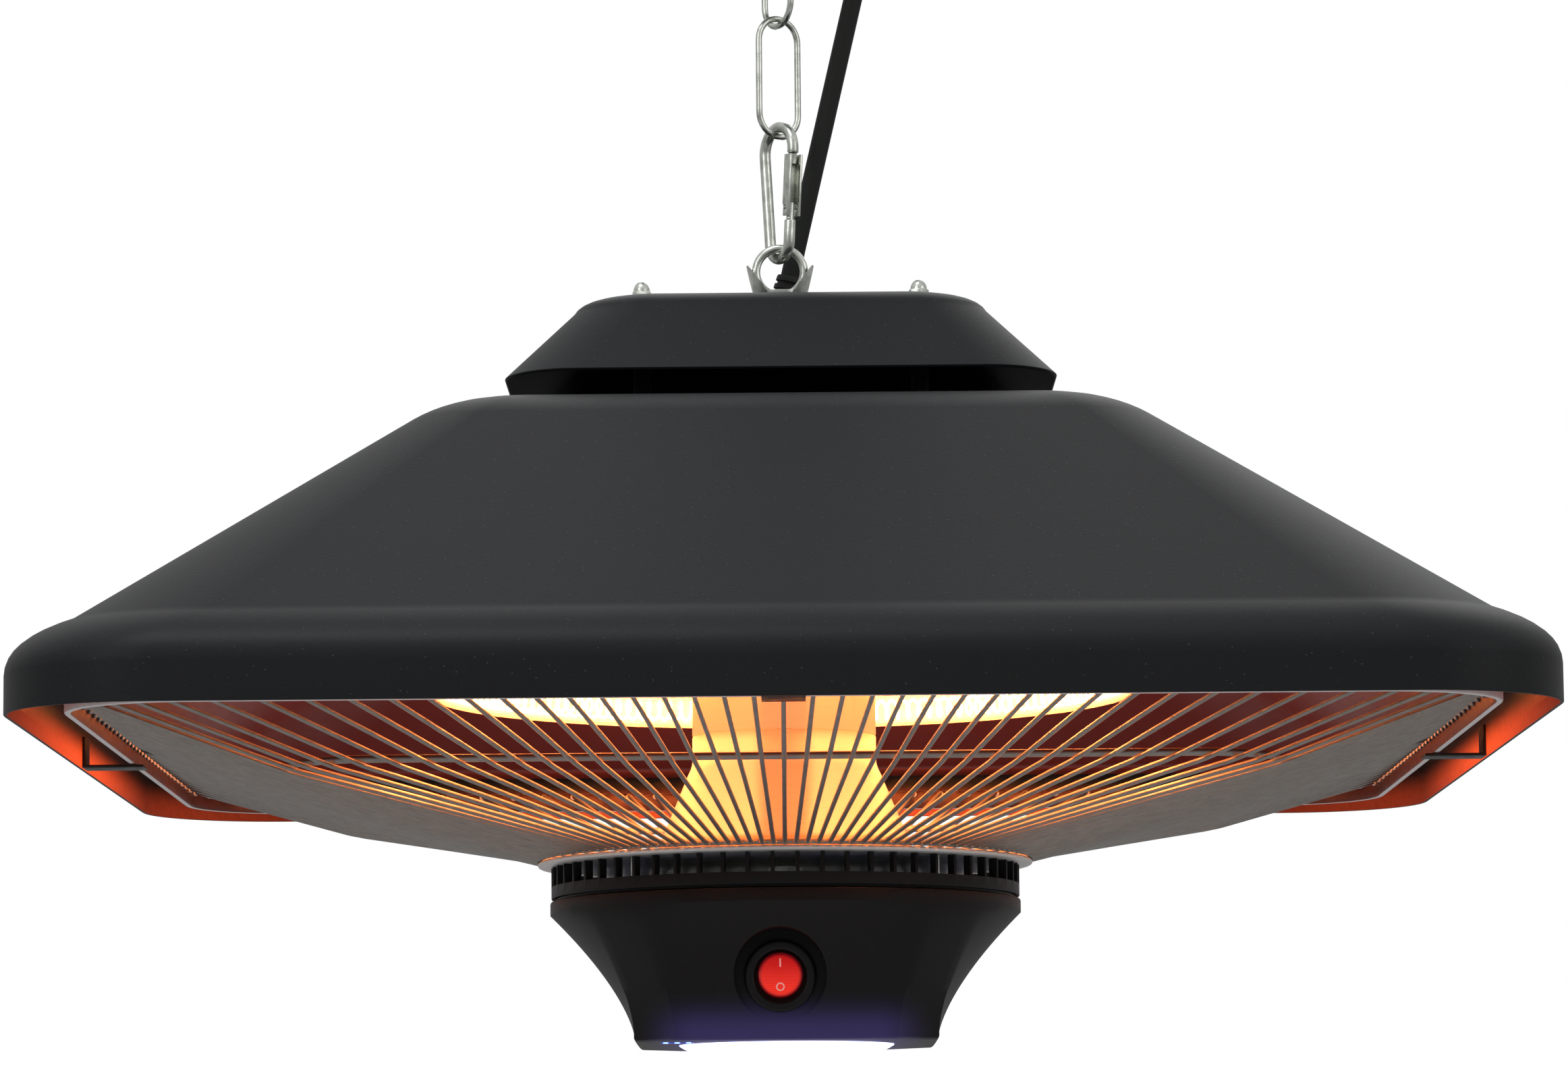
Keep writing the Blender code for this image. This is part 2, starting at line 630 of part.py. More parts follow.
def build_eye():
    """Lifting eye: a closed wire ring on a short shank, in a flared cup with two ears, with its nut below."""
    centre = (0.0, EYE_HEIGHT)
    ring = [(x, 0.0, z) for x, z in arc(centre, EYE_RADIUS, 0.0, 2 * math.pi, 24)[:-1]]
    eye = wire("lifting_eye", ring, EYE_WIRE / 2, ZINC, heater, cyclic=True)
    shank_top = EYE_HEIGHT - EYE_RADIUS
    shank_foot = CAP_TOP_HEIGHT - CAP_SHEET - EYE_NUT_HEIGHT - 0.003
    boolean(eye, cutter("eye_shank", cylinder(EYE_SHANK, shank_foot, shank_top, 12), heater), 'UNION')
    foot = CAP_TOP_HEIGHT + SEAT
    top = CAP_TOP_HEIGHT + CUP_HEIGHT
    bore = EYE_SHANK + SLIP
    wall = [(bore, foot), (CUP_FOOT_RADIUS, foot), (CUP_TOP_RADIUS, top), (CUP_TOP_RADIUS - CUP_WALL, top),
            (CUP_FOOT_RADIUS - CUP_WALL, foot + CUP_WALL), (bore, foot + CUP_WALL)]
    cup = put_mesh("eye_cup", turned(wall, 24), ZINC, heater)
    floor = CAP_TOP_HEIGHT + CUP_NOTCH_FLOOR
    above = top + 0.004
    slope = (CUP_NOTCH_TOP - CUP_NOTCH_FOOT) / (top - floor)
    wide = CUP_NOTCH_FOOT + slope * (above - floor)
    notch = prism([(-CUP_NOTCH_FOOT, floor), (CUP_NOTCH_FOOT, floor), (wide, above), (-wide, above)], 0.040)
    boolean(cup, cutter("cup_notch", notch, heater))
    nut_top = CAP_TOP_HEIGHT - CAP_SHEET - SEAT
    hexagon = cylinder(EYE_NUT_RADIUS, nut_top - EYE_NUT_HEIGHT, nut_top, 6)
    nut = put_mesh("eye_nut", hexagon, ZINC, heater)
    boolean(nut, cutter("eye_nut_bore", cylinder(bore, nut_top - 0.02, nut_top + 0.02, 12), heater))
    return bore


def corner_spots(offset):
    """The four corners of a square pattern."""
    return [(offset, -offset), (offset, offset), (-offset, offset), (-offset, -offset)]


def build_cap(eye_bore):
    """Rain cap over the hood's mouth, held up on four bolts with spacers and closed by dome nuts."""
    ease = CAP_EDGE_ROUND
    slope = (CAP_RIM_HALF - CAP_TOP_HALF) / (CAP_TOP_HEIGHT - CAP_RIM_HEIGHT)
    loops = [square_loop(CAP_RIM_HALF, CAP_RIM_CORNER, CAP_RIM_HEIGHT)]
    drop = ease * CAP_EDGE_FOOT_SHARE
    loops.append(square_loop(CAP_TOP_HALF + slope * drop, CAP_TOP_CORNER + 0.002, CAP_TOP_HEIGHT - drop))
    loops.append(square_loop(CAP_TOP_HALF + ease * CAP_EDGE_MIDDLE_REACH, CAP_TOP_CORNER,
                             CAP_TOP_HEIGHT - ease * CAP_EDGE_MIDDLE_DROP))
    loops.append(square_loop(CAP_TOP_HALF - ease, CAP_TOP_CORNER - 0.004, CAP_TOP_HEIGHT))
    bm = loft(loops)
    rim = [v for v in bm.verts if abs(v.co.z - CAP_TOP_HEIGHT) < 1e-7]
    bm.faces.new(sorted(rim, key=lambda v: math.atan2(v.co.y, v.co.x)))
    cap = put_mesh("top_cap", bm, BLACK_PAINT, heater, smooth=40)
    solid = cap.modifiers.new("sheet", 'SOLIDIFY')
    solid.thickness = CAP_SHEET
    solid.offset = -1.0
    solid.use_even_offset = True
    low = CAP_TOP_HEIGHT - 0.010
    high = CAP_TOP_HEIGHT + 0.010
    boolean(cap, cutter("eye_hole", cylinder(eye_bore, low, high, 12), heater))
    boolean(cap, cutter("gland_hole", cylinder(GLAND_NECK_RADIUS + SLIP, low, high, 12), heater,
                        (GLAND_X, GLAND_Y, 0.0)))
    spacer_top = CAP_TOP_HEIGHT - CAP_SHEET - SEAT
    spacer_foot = HOOD_TOP_HEIGHT + SEAT
    bolt_foot = HOOD_TOP_HEIGHT - HOOD_SHEET - CHASSIS_SHEET - 3 * SEAT
    nut_foot = CAP_TOP_HEIGHT + SEAT
    wide = NUT_ACROSS / math.sqrt(3)
    for k, (x, y) in enumerate(corner_spots(CAP_BOLT_OFFSET)):
        spot = (x, y, 0.0)
        boolean(cap, cutter(f"cap_bolt_hole_{k + 1}", cylinder(BOLT_RADIUS + SLIP, low, high, 10), heater, spot))
        nut = turned([(0.0, nut_foot + NUT_HEX_HEIGHT + NUT_DOME_HEIGHT),
                      (NUT_ACROSS * 0.26, nut_foot + NUT_HEX_HEIGHT + NUT_DOME_HEIGHT * 0.86),
                      (NUT_ACROSS * 0.43, nut_foot + NUT_HEX_HEIGHT + NUT_DOME_HEIGHT * 0.45),
                      (NUT_ACROSS * 0.47, nut_foot + NUT_HEX_HEIGHT),
                      (wide, nut_foot + NUT_HEX_HEIGHT - 0.0004), (wide, nut_foot),
                      (BOLT_RADIUS + SLIP, nut_foot), (BOLT_RADIUS + SLIP, nut_foot + NUT_HEX_HEIGHT),
                      (0.0, nut_foot + NUT_HEX_HEIGHT)], 6, closed=False)
        put_mesh(f"dome_nut_{k + 1}", nut, ZINC, heater, spot)
        bore = BOLT_RADIUS + SLIP
        spacer = turned([(bore, spacer_foot), (SPACER_RADIUS, spacer_foot), (SPACER_RADIUS, spacer_top),
                         (bore, spacer_top)], 10)
        put_mesh(f"cap_spacer_{k + 1}", spacer, BLACK_PAINT, heater, spot)
        head = BOLT_RADIUS * 1.9
        bolt = turned([(0.0, bolt_foot - 0.0024), (head, bolt_foot - 0.0024), (head, bolt_foot),
                       (BOLT_RADIUS, bolt_foot), (BOLT_RADIUS, nut_foot + NUT_HEX_HEIGHT - SEAT),
                       (0.0, nut_foot + NUT_HEX_HEIGHT - SEAT)], 10, closed=False)
        put_mesh(f"cap_bolt_{k + 1}", bolt, ZINC, heater, spot)


def build_hood():
    """Square shade: flat top with a mouth, sloping faces, rounded shoulder and short skirt."""
    span = (RIM_CORNER - CROWN_CORNER) / (SHOULDER_HALF - CROWN_HALF)
    rows = [(RIM_HALF, 0.0, RIM_CORNER), (RIM_HALF, SKIRT_HEIGHT, RIM_CORNER)]
    bend = (RIM_HALF, (SKIRT_HEIGHT + SHOULDER_HEIGHT) / 2 + 0.0015)
    for t in SHOULDER_SHARES:
        half = (1 - t) ** 2 * RIM_HALF + 2 * t * (1 - t) * bend[0] + t * t * SHOULDER_HALF
        height = (1 - t) ** 2 * SKIRT_HEIGHT + 2 * t * (1 - t) * bend[1] + t * t * SHOULDER_HEIGHT
        rows.append((half, height, RIM_CORNER))
    rows.append((SHOULDER_HALF, SHOULDER_HEIGHT, RIM_CORNER))
    rows.append((CROWN_HALF, CROWN_HEIGHT, RIM_CORNER - span * (SHOULDER_HALF - CROWN_HALF)))
    rows.append(((CROWN_HALF * 0.55 + HOOD_TOP_HALF * 0.45), CROWN_HEIGHT * 0.22 + HOOD_TOP_HEIGHT * 0.78,
                 CROWN_CORNER - 0.002))
    rows.append((HOOD_TOP_HALF, HOOD_TOP_HEIGHT, CROWN_CORNER - 0.004))
    rows.append((HOOD_MOUTH, HOOD_TOP_HEIGHT, HOOD_MOUTH * 0.3))
    loops = [square_loop(half, corner, height) for half, height, corner in rows]
    hood = sheet("hood", loops, HOOD_SHEET, BLACK_PAINT, heater)
    low = HOOD_TOP_HEIGHT - 0.010
    high = HOOD_TOP_HEIGHT + 0.010
    for k, (x, y) in enumerate(corner_spots(CAP_BOLT_OFFSET)):
        boolean(hood, cutter(f"hood_bolt_hole_{k + 1}", cylinder(BOLT_RADIUS + SLIP, low, high, 10), heater,
                             (x, y, 0.0)))


def build_chassis():
    """Hat-shaped strap under the hood's top: carries the reflector on its feet and the column and tie rod."""
    top = HOOD_TOP_HEIGHT - HOOD_SHEET - SEAT
    foot = REFLECTOR_TOP_HEIGHT + SEAT
    half = CHASSIS_SHEET / 2
    wall = CHASSIS_HALF - half
    toe = CHASSIS_HALF + CHASSIS_FOOT
    path = [(-toe, foot + half), (-wall, foot + half), (-wall, top - half), (wall, top - half),
            (wall, foot + half), (toe, foot + half)]
    chassis = put_mesh("chassis", folded(path, CHASSIS_SHEET, 2 * CHASSIS_HALF), GALVANISED, heater)
    low = top - 0.010
    high = top + 0.010
    for k, (x, y) in enumerate(corner_spots(CAP_BOLT_OFFSET)):
        boolean(chassis, cutter(f"chassis_bolt_hole_{k + 1}", cylinder(BOLT_RADIUS + SLIP, low, high, 10), heater,
                                (x, y, 0.0)))
    boolean(chassis, cutter("chassis_rod_hole", cylinder(ROD_RADIUS + SLIP, low, high, 12), heater))
    boolean(chassis, cutter("chassis_wire_hole", cylinder(WIRE_HOLE, low, high, 12), heater,
                            (0.0, COLUMN_RADIUS / 2, 0.0)))


def build_reflector():
    """Bright pan over the heating ring, with the column through its middle and a lip towards the skirt."""
    throat = COLUMN_RADIUS + THROAT_SLIP
    flat = REFLECTOR_TOP_HEIGHT
    inside = [square_loop(throat, throat, flat), square_loop(REFLECTOR_TOP_HALF, REFLECTOR_TOP_CORNER, flat),
              square_loop(REFLECTOR_RIM_HALF, REFLECTOR_RIM_CORNER, REFLECTOR_RIM_HEIGHT)]
    edge = REFLECTOR_RIM_HALF + REFLECTOR_LIP
    inside.append(square_loop(edge, RIM_CORNER - 0.002, REFLECTOR_RIM_HEIGHT - 0.0005))
    sheet("reflector", inside[::-1], REFLECTOR_SHEET, BRIGHT_ALUMINIUM, heater)


def build_column():
    """Polished tube from the chassis down through the reflector, and the flared cone that meets the hub plate."""
    head = HOOD_TOP_HEIGHT - HOOD_SHEET - CHASSIS_SHEET - 2 * SEAT
    bore = COLUMN_RADIUS - COLUMN_WALL
    put_mesh("centre_column", turned([(bore, COLUMN_FOOT_HEIGHT), (COLUMN_RADIUS, COLUMN_FOOT_HEIGHT),
                                      (COLUMN_RADIUS, head), (bore, head)], 32), BRIGHT_ALUMINIUM, heater)
    neck_top = COLUMN_FOOT_HEIGHT - SEAT
    foot = HUB_TOP_HEIGHT + SEAT
    outer = [(COLUMN_RADIUS, neck_top), (COLUMN_RADIUS, CONE_NECK_HEIGHT),
             (COLUMN_RADIUS + 0.0012, CONE_NECK_HEIGHT - 0.0045), (CONE_FOOT_RADIUS, foot)]
    inner = [(radius - COLUMN_WALL, height) for radius, height in outer[::-1]]
    put_mesh("column_cone", turned(outer + inner, 32), BRIGHT_ALUMINIUM, heater)
    rod_top = head + CHASSIS_SHEET + SEAT
    rod_head = ROD_RADIUS * 1.9
    rod_foot = HUB_TOP_HEIGHT - HUB_SHEET - ROD_NUT_HEIGHT - 0.003
    rod = turned([(0.0, rod_foot), (ROD_RADIUS, rod_foot), (ROD_RADIUS, rod_top + SEAT), (rod_head, rod_top + SEAT),
                  (rod_head, rod_top + 0.0040), (0.0, rod_top + 0.0040)], 12, closed=False)
    put_mesh("tie_rod", rod, ZINC, heater)
    nut_top = HUB_TOP_HEIGHT - HUB_SHEET - SEAT
    nut = put_mesh("tie_rod_nut", cylinder(ROD_RADIUS * 2.0, nut_top - ROD_NUT_HEIGHT, nut_top, 6), ZINC, heater)
    boolean(nut, cutter("rod_nut_bore", cylinder(ROD_RADIUS + SLIP, nut_top - 0.02, nut_top + 0.02, 12), heater))


def ring_point(radius, angle, height):
    """A point at an angle round the heater's axis."""
    return (radius * math.cos(angle), radius * math.sin(angle), height)


def coil_gap(points):
    """The least distance between one turn's points and those of the turns beside it."""
    least = 1.0
    for i, a in enumerate(points):
        for b in points[i + COIL_POINTS - 2:i + 2 * COIL_POINTS]:
            least = min(least, (Vector(a) - Vector(b)).length)
    return least - 2 * COIL_WIRE


def build_heating_ring():
    """Quartz tube bent into a ring, the coil inside it, its two ceramic ends and its holders."""
    gap = TUBE_GAP_HALF_ANGLE
    start = -math.pi / 2 + gap
    sweep = 2 * math.pi - 2 * gap
    steps = 36
    path = [ring_point(RING_RADIUS, start + sweep * k / steps, RING_HEIGHT) for k in range(steps + 1)]
    loops = []
    for k, point in enumerate(path):
        angle = start + sweep * k / steps
        out = Vector((math.cos(angle), math.sin(angle), 0.0))
        loops.append((Vector(point), out))
    sides = 8
    bm = bmesh.new()
    rows = {}
    for label, radius in (("outer", TUBE_RADIUS), ("bore", TUBE_BORE)):
        rows[label] = [[bm.verts.new(point + (out * math.cos(a) + Vector((0, 0, 1)) * math.sin(a)) * radius)
                        for a in (2 * math.pi * i / sides for i in range(sides))] for point, out in loops]
        for lower, upper in zip(rows[label], rows[label][1:]):
            for i in range(sides):
                n = (i + 1) % sides
                bm.faces.new((lower[i], lower[n], upper[n], upper[i]))
    for end in (0, -1):
        for i in range(sides):
            n = (i + 1) % sides
            bm.faces.new((rows["outer"][end][i], rows["outer"][end][n], rows["bore"][end][n], rows["bore"][end][i]))
    put_mesh("heating_tube", bm, QUARTZ, heater, smooth=60)

    lead_in = 2.4 * COIL_WIRE / RING_RADIUS
    coil_start = start + lead_in
    coil_sweep = sweep - 2 * lead_in
    count = COIL_TURNS * COIL_POINTS
    coil = []
    for k in range(count + 1):
        angle = coil_start + coil_sweep * k / count
        turn = 2 * math.pi * k / COIL_POINTS
        coil.append(ring_point(RING_RADIUS + COIL_RADIUS * math.cos(turn), angle,
                               RING_HEIGHT + COIL_RADIUS * math.sin(turn)))
    print("least gap of the heating coil to itself, mm:", round(coil_gap(coil) * 1000, 2))
    put_mesh("heating_coil", tube(coil, COIL_WIRE, 6), HOT_WIRE, heater, smooth=60)

    for k, side in enumerate((1, -1)):
        angle = -math.pi / 2 + side * gap
        end = ring_point(RING_RADIUS, angle, RING_HEIGHT)
        socket = TUBE_RADIUS + END_CAP_SLIP
        cap = turned([(0.0, SEAT), (socket, SEAT), (socket, -END_CAP_SOCKET), (END_CAP_RADIUS, -END_CAP_SOCKET),
                      (END_CAP_RADIUS, END_CAP_LENGTH - 0.001), (END_CAP_RADIUS - 0.001, END_CAP_LENGTH),
                      (0.0, END_CAP_LENGTH)], 16, closed=False)
        tilt = (0.0, math.radians(90), angle - side * math.pi / 2)
        put_mesh(f"tube_end_cap_{k + 1}", cap, CERAMIC, heater, end, tilt)

    grip = TUBE_RADIUS + END_CAP_SLIP
    shell = grip + HOLDER_SHEET
    opening = math.radians(62)
    lower = math.radians(-90)
    inside = arc((0.0, 0.0), grip, lower + opening, lower + 2 * math.pi - opening, 12)
    outside = arc((0.0, 0.0), shell, lower + opening, lower + 2 * math.pi - opening, 12)
    rise = REFLECTOR_TOP_HEIGHT - REFLECTOR_SHEET - SEAT - RING_HEIGHT - HOLDER_SHEET / 2
    stem = [(-HOLDER_LEAN - HOLDER_FOOT, rise), (-HOLDER_LEAN, rise), (0.0, grip + HOLDER_SHEET * 0.6)]
    for k, degrees in enumerate(HOLDER_ANGLES):
        angle = math.radians(degrees)
        spot = ring_point(RING_RADIUS, angle, RING_HEIGHT)
        turn = (0.0, 0.0, angle)
        holder = put_mesh(f"tube_holder_{k + 1}", ribbon(list(zip(inside, outside)), HOLDER_WIDTH), GALVANISED,
                          heater, spot, turn)
        strap = folded(stem, HOLDER_SHEET, HOLDER_WIDTH - 0.0015)
        boolean(holder, cutter(f"holder_strap_{k + 1}", strap, heater, spot, turn), 'UNION')


def skin(bm, here, there, bays=True):
    """Faces between two rows round a ring. Where one row has two points a bay and the other one, they fan out."""
    if len(here) == len(there):
        for i in range(len(here)):
            n = (i + 1) % len(here)
            if bays or i % 2:
                bm.faces.new((here[i], here[n], there[n], there[i]))
        return
    twice, once = (here, there) if len(here) > len(there) else (there, here)
    for k in range(len(once)):
        n = (k + 1) % len(once)
        bm.faces.new((once[k], twice[2 * k + 1], twice[2 * k]))
        bm.faces.new((once[k], once[n], twice[2 * n], twice[2 * k + 1]))


def square_reach(angle, half, corner):
    """How far a ray from the axis runs to a rounded square's outline."""
    spoke = abs((math.degrees(angle) + 45.0) % 90.0 - 45.0)
    spoke = math.radians(spoke)
    straight = half / math.cos(spoke)
    if straight * math.sin(spoke) <= half - corner:
        return straight
    centre = (half - corner) * math.sqrt(2)
    off = math.radians(45) - spoke
    return centre * math.cos(off) + math.sqrt(corner ** 2 - (centre * math.sin(off)) ** 2)


def build_guard():
    """Dished wire guard: frame band, radial wires and inner ring in one weldment, over a middle ring.

    Each wire grows out of a narrow bay in the frame's inner wall and ends in one in the inner ring's outer wall.
    """
    bm = bmesh.new()
    pitch = 2 * math.pi / WIRE_COUNT
    frame_top = FRAME_FOOT_HEIGHT + FRAME_HEIGHT

    def spokes(reach):
        """Two angles for each wire, at its left and right side, where it meets a loop with this reach."""
        angles = []
        for k in range(WIRE_COUNT):
            middle = k * pitch + math.pi / 2
            half_turn = GUARD_WIRE / 2 / reach(middle)
            angles += [middle - half_turn, middle + half_turn]
        return angles

    def loop(reach, height):
        return [bm.verts.new(ring_point(reach(a), a, height)) for a in spokes(reach)]

    def single(reach, height):
        middles = [k * pitch + math.pi / 2 for k in range(WIRE_COUNT)]
        return [bm.verts.new(ring_point(reach(a), a, height)) for a in middles]

    def frame_inner(a):
        return square_reach(a, FRAME_HALF - FRAME_BAND, FRAME_CORNER - FRAME_BAND)

    def frame_outer(a):
        return square_reach(a, FRAME_HALF, FRAME_CORNER)

    def middle_reach(a):
        return square_reach(a, MIDDLE_HALF, MIDDLE_CORNER)

    def inner_reach(a):
        return INNER_RADIUS + INNER_BAND

    def inner_bore(a):
        return INNER_RADIUS

    mid_high = MIDDLE_HEIGHT + MIDDLE_WIRE_RADIUS + SEAT + GUARD_WIRE
    outer_rows = [loop(frame_inner, frame_top), loop(frame_inner, frame_top - GUARD_WIRE),
                  single(frame_inner, FRAME_FOOT_HEIGHT), single(frame_outer, FRAME_FOOT_HEIGHT),
                  single(frame_outer, frame_top)]
    inner_rows = [loop(inner_reach, INNER_HEIGHT + GUARD_WIRE), loop(inner_reach, INNER_HEIGHT),
                  single(inner_bore, INNER_HEIGHT), single(inner_bore, INNER_HEIGHT + GUARD_WIRE)]
    middle_rows = [loop(middle_reach, mid_high), loop(middle_reach, mid_high - GUARD_WIRE)]
    for rows in (outer_rows, inner_rows):
        for r in range(len(rows)):
            skin(bm, rows[r], rows[(r + 1) % len(rows)], bays=r > 0)
    for k in range(WIRE_COUNT):
        left, right = 2 * k, 2 * k + 1
        ends = [(rows[0][left], rows[0][right], rows[1][right], rows[1][left])
                for rows in (outer_rows, middle_rows, inner_rows)]
        for start, stop in zip(ends, ends[1:]):
            for i in range(4):
                n = (i + 1) % 4
                bm.faces.new((start[i], start[n], stop[n], stop[i]))
    put_mesh("guard", bm, STEEL_WIRE, heater)

    middle = square_loop(MIDDLE_HALF, MIDDLE_CORNER, MIDDLE_HEIGHT)
    wire("guard_middle_ring", middle, MIDDLE_WIRE_RADIUS, STEEL_WIRE, heater, cyclic=True, sides=6)

    toe = FRAME_HALF - FRAME_BAND - CLIP_LIP
    skirt = RIM_HALF - HOOD_SHEET - SEAT
    floor = FRAME_FOOT_HEIGHT - SEAT
    head = SKIRT_HEIGHT - CLIP_HEAD_DROP
    half = CLIP_SHEET / 2
    path = [(toe, floor - half), (skirt - half, floor - half), (skirt - half, head)]
    for k in range(4):
        put_mesh(f"guard_clip_{k + 1}", folded(path, CLIP_SHEET, CLIP_WIDTH), GALVANISED, heater, (0, 0, 0),
                 (0, 0, k * math.pi / 2))


def build_hub():
    """Pale ring plate at the guard's middle, and the vent ring with upright ribs below it."""
    foot = HUB_TOP_HEIGHT - HUB_SHEET
    edge = 0.0005
    hub = put_mesh("hub_plate", stack([(HUB_RADIUS - edge, foot), (HUB_RADIUS, foot + edge),
                                       (HUB_RADIUS, HUB_TOP_HEIGHT - edge), (HUB_RADIUS - edge, HUB_TOP_HEIGHT)],
                                      44), PALE_STEEL, heater)
    low = foot - 0.010
    high = HUB_TOP_HEIGHT + 0.010
    boolean(hub, cutter("hub_rod_hole", cylinder(ROD_RADIUS + SLIP, low, high, 12), heater))
    boolean(hub, cutter("hub_wire_hole", cylinder(WIRE_HOLE, low, high, 12), heater, (0.0, COLUMN_RADIUS / 2, 0.0)))

    rib_top = foot - SEAT
    inner_wall = VENT_RADIUS - VENT_WALL
    bm = bmesh.new()
    pitch = 2 * math.pi / RIB_COUNT

    middles = [k * pitch + pitch / 2 - math.pi / 2 for k in range(RIB_COUNT)]

    def loop(radius, height):
        return [bm.verts.new(ring_point(radius, middle + side * pitch * RIB_SHARE / 2, height))
                for middle in middles for side in (-1, 1)]

    def single(radius, height):
        return [bm.verts.new(ring_point(radius, middle, height)) for middle in middles]

    spigot = HOUSING_TOP + SEAT
    rows = [loop(VENT_RADIUS, VENT_BAND_TOP), single(VENT_RADIUS, VENT_FOOT), single(VENT_SPIGOT_RADIUS, VENT_FOOT),
            single(VENT_SPIGOT_RADIUS, spigot), single(VENT_LEDGE_RADIUS, spigot),
            single(VENT_LEDGE_RADIUS, VENT_FOOT + VENT_LEDGE), single(inner_wall, VENT_FOOT + VENT_LEDGE),
            loop(inner_wall, VENT_BAND_TOP)]
    for r in range(len(rows)):
        skin(bm, rows[r], rows[(r + 1) % len(rows)], bays=r < len(rows) - 1)
    for k in range(RIB_COUNT):
        i = 2 * k
        n = i + 1
        root = [rows[0][i], rows[0][n], rows[-1][n], rows[-1][i]]
        crown = [bm.verts.new((v.co.x, v.co.y, rib_top)) for v in root]
        for a in range(4):
            b = (a + 1) % 4
            bm.faces.new((root[a], root[b], crown[b], crown[a]))
        bm.faces.new(crown)
    vent = put_mesh("vent_ring", bm, BLACK_PLASTIC, heater)

    screw_low = VENT_FOOT - 0.010
    screw_high = HUB_TOP_HEIGHT + 0.010
    for k in range(4):
        angle = math.radians(45 + 90 * k)
        spot = ring_point(SCREW_CIRCLE, angle, 0.0)
        bore = cylinder(SCREW_RADIUS + SLIP, screw_low, screw_high, 10)
        hole = cutter(f"housing_screw_hole_{k + 1}", bore, heater, spot)
        boolean(hub, hole)
        boolean(vent, hole)
        head = HUB_TOP_HEIGHT + SEAT
        tip = HOUSING_TOP - HOUSING_LEDGE - 0.002
        screw = turned([(0.0, tip), (SCREW_RADIUS, tip), (SCREW_RADIUS, head), (SCREW_HEAD_RADIUS, head),
                        (SCREW_HEAD_RADIUS, head + SCREW_HEAD_HEIGHT * 0.5),
                        (SCREW_HEAD_RADIUS * 0.6, head + SCREW_HEAD_HEIGHT), (0.0, head + SCREW_HEAD_HEIGHT)],
                       10, closed=False)
        put_mesh(f"housing_screw_{k + 1}", screw, ZINC, heater, spot)


def flare_half(height):
    """Half width of the housing at a height: a circle's radius at the flange, a square's half width at the foot."""
    share = (height - HOUSING_FOOT) / (FLANGE_FOOT - HOUSING_FOOT)
    return FOOT_HALF + (HOUSING_RADIUS - FOOT_HALF) * min(max(share, 0.0), 1.0) ** FLARE_POWER


def housing_angles():
    """Directions round the housing, the same at every level, with two on the edges of each corner's facet."""
    edge = math.atan((FOOT_HALF - FOOT_CHAMFER) / FOOT_HALF)
    eighth = [edge * k / 4 for k in range(5)] + [math.pi / 4]
    quarter = eighth + [math.pi / 2 - angle for angle in eighth[-2:0:-1]]
    return [turn * math.pi / 2 + angle for turn in range(4) for angle in quarter]


def housing_loop(height, inset):
    """One level of the housing: a circle at the flange that turns into a square with cut corners at the foot."""
    share = min(max((height - HOUSING_FOOT) / (FLANGE_FOOT - HOUSING_FOOT), 0.0), 1.0)
    half = flare_half(height) - inset
    chamfer = FOOT_CHAMFER * half / FOOT_HALF
    squareness = (1.0 - share) ** 0.8
    points = []
    for angle in housing_angles():
        spoke = math.radians(abs((math.degrees(angle) + 45.0) % 90.0 - 45.0))
        flat = half / math.cos(spoke)
        cut = (2 * half - chamfer) / math.sqrt(2) / math.cos(math.radians(45) - spoke)
        points.append(ring_point(half * (1 - squareness) + min(flat, cut) * squareness, angle, height))
    return points


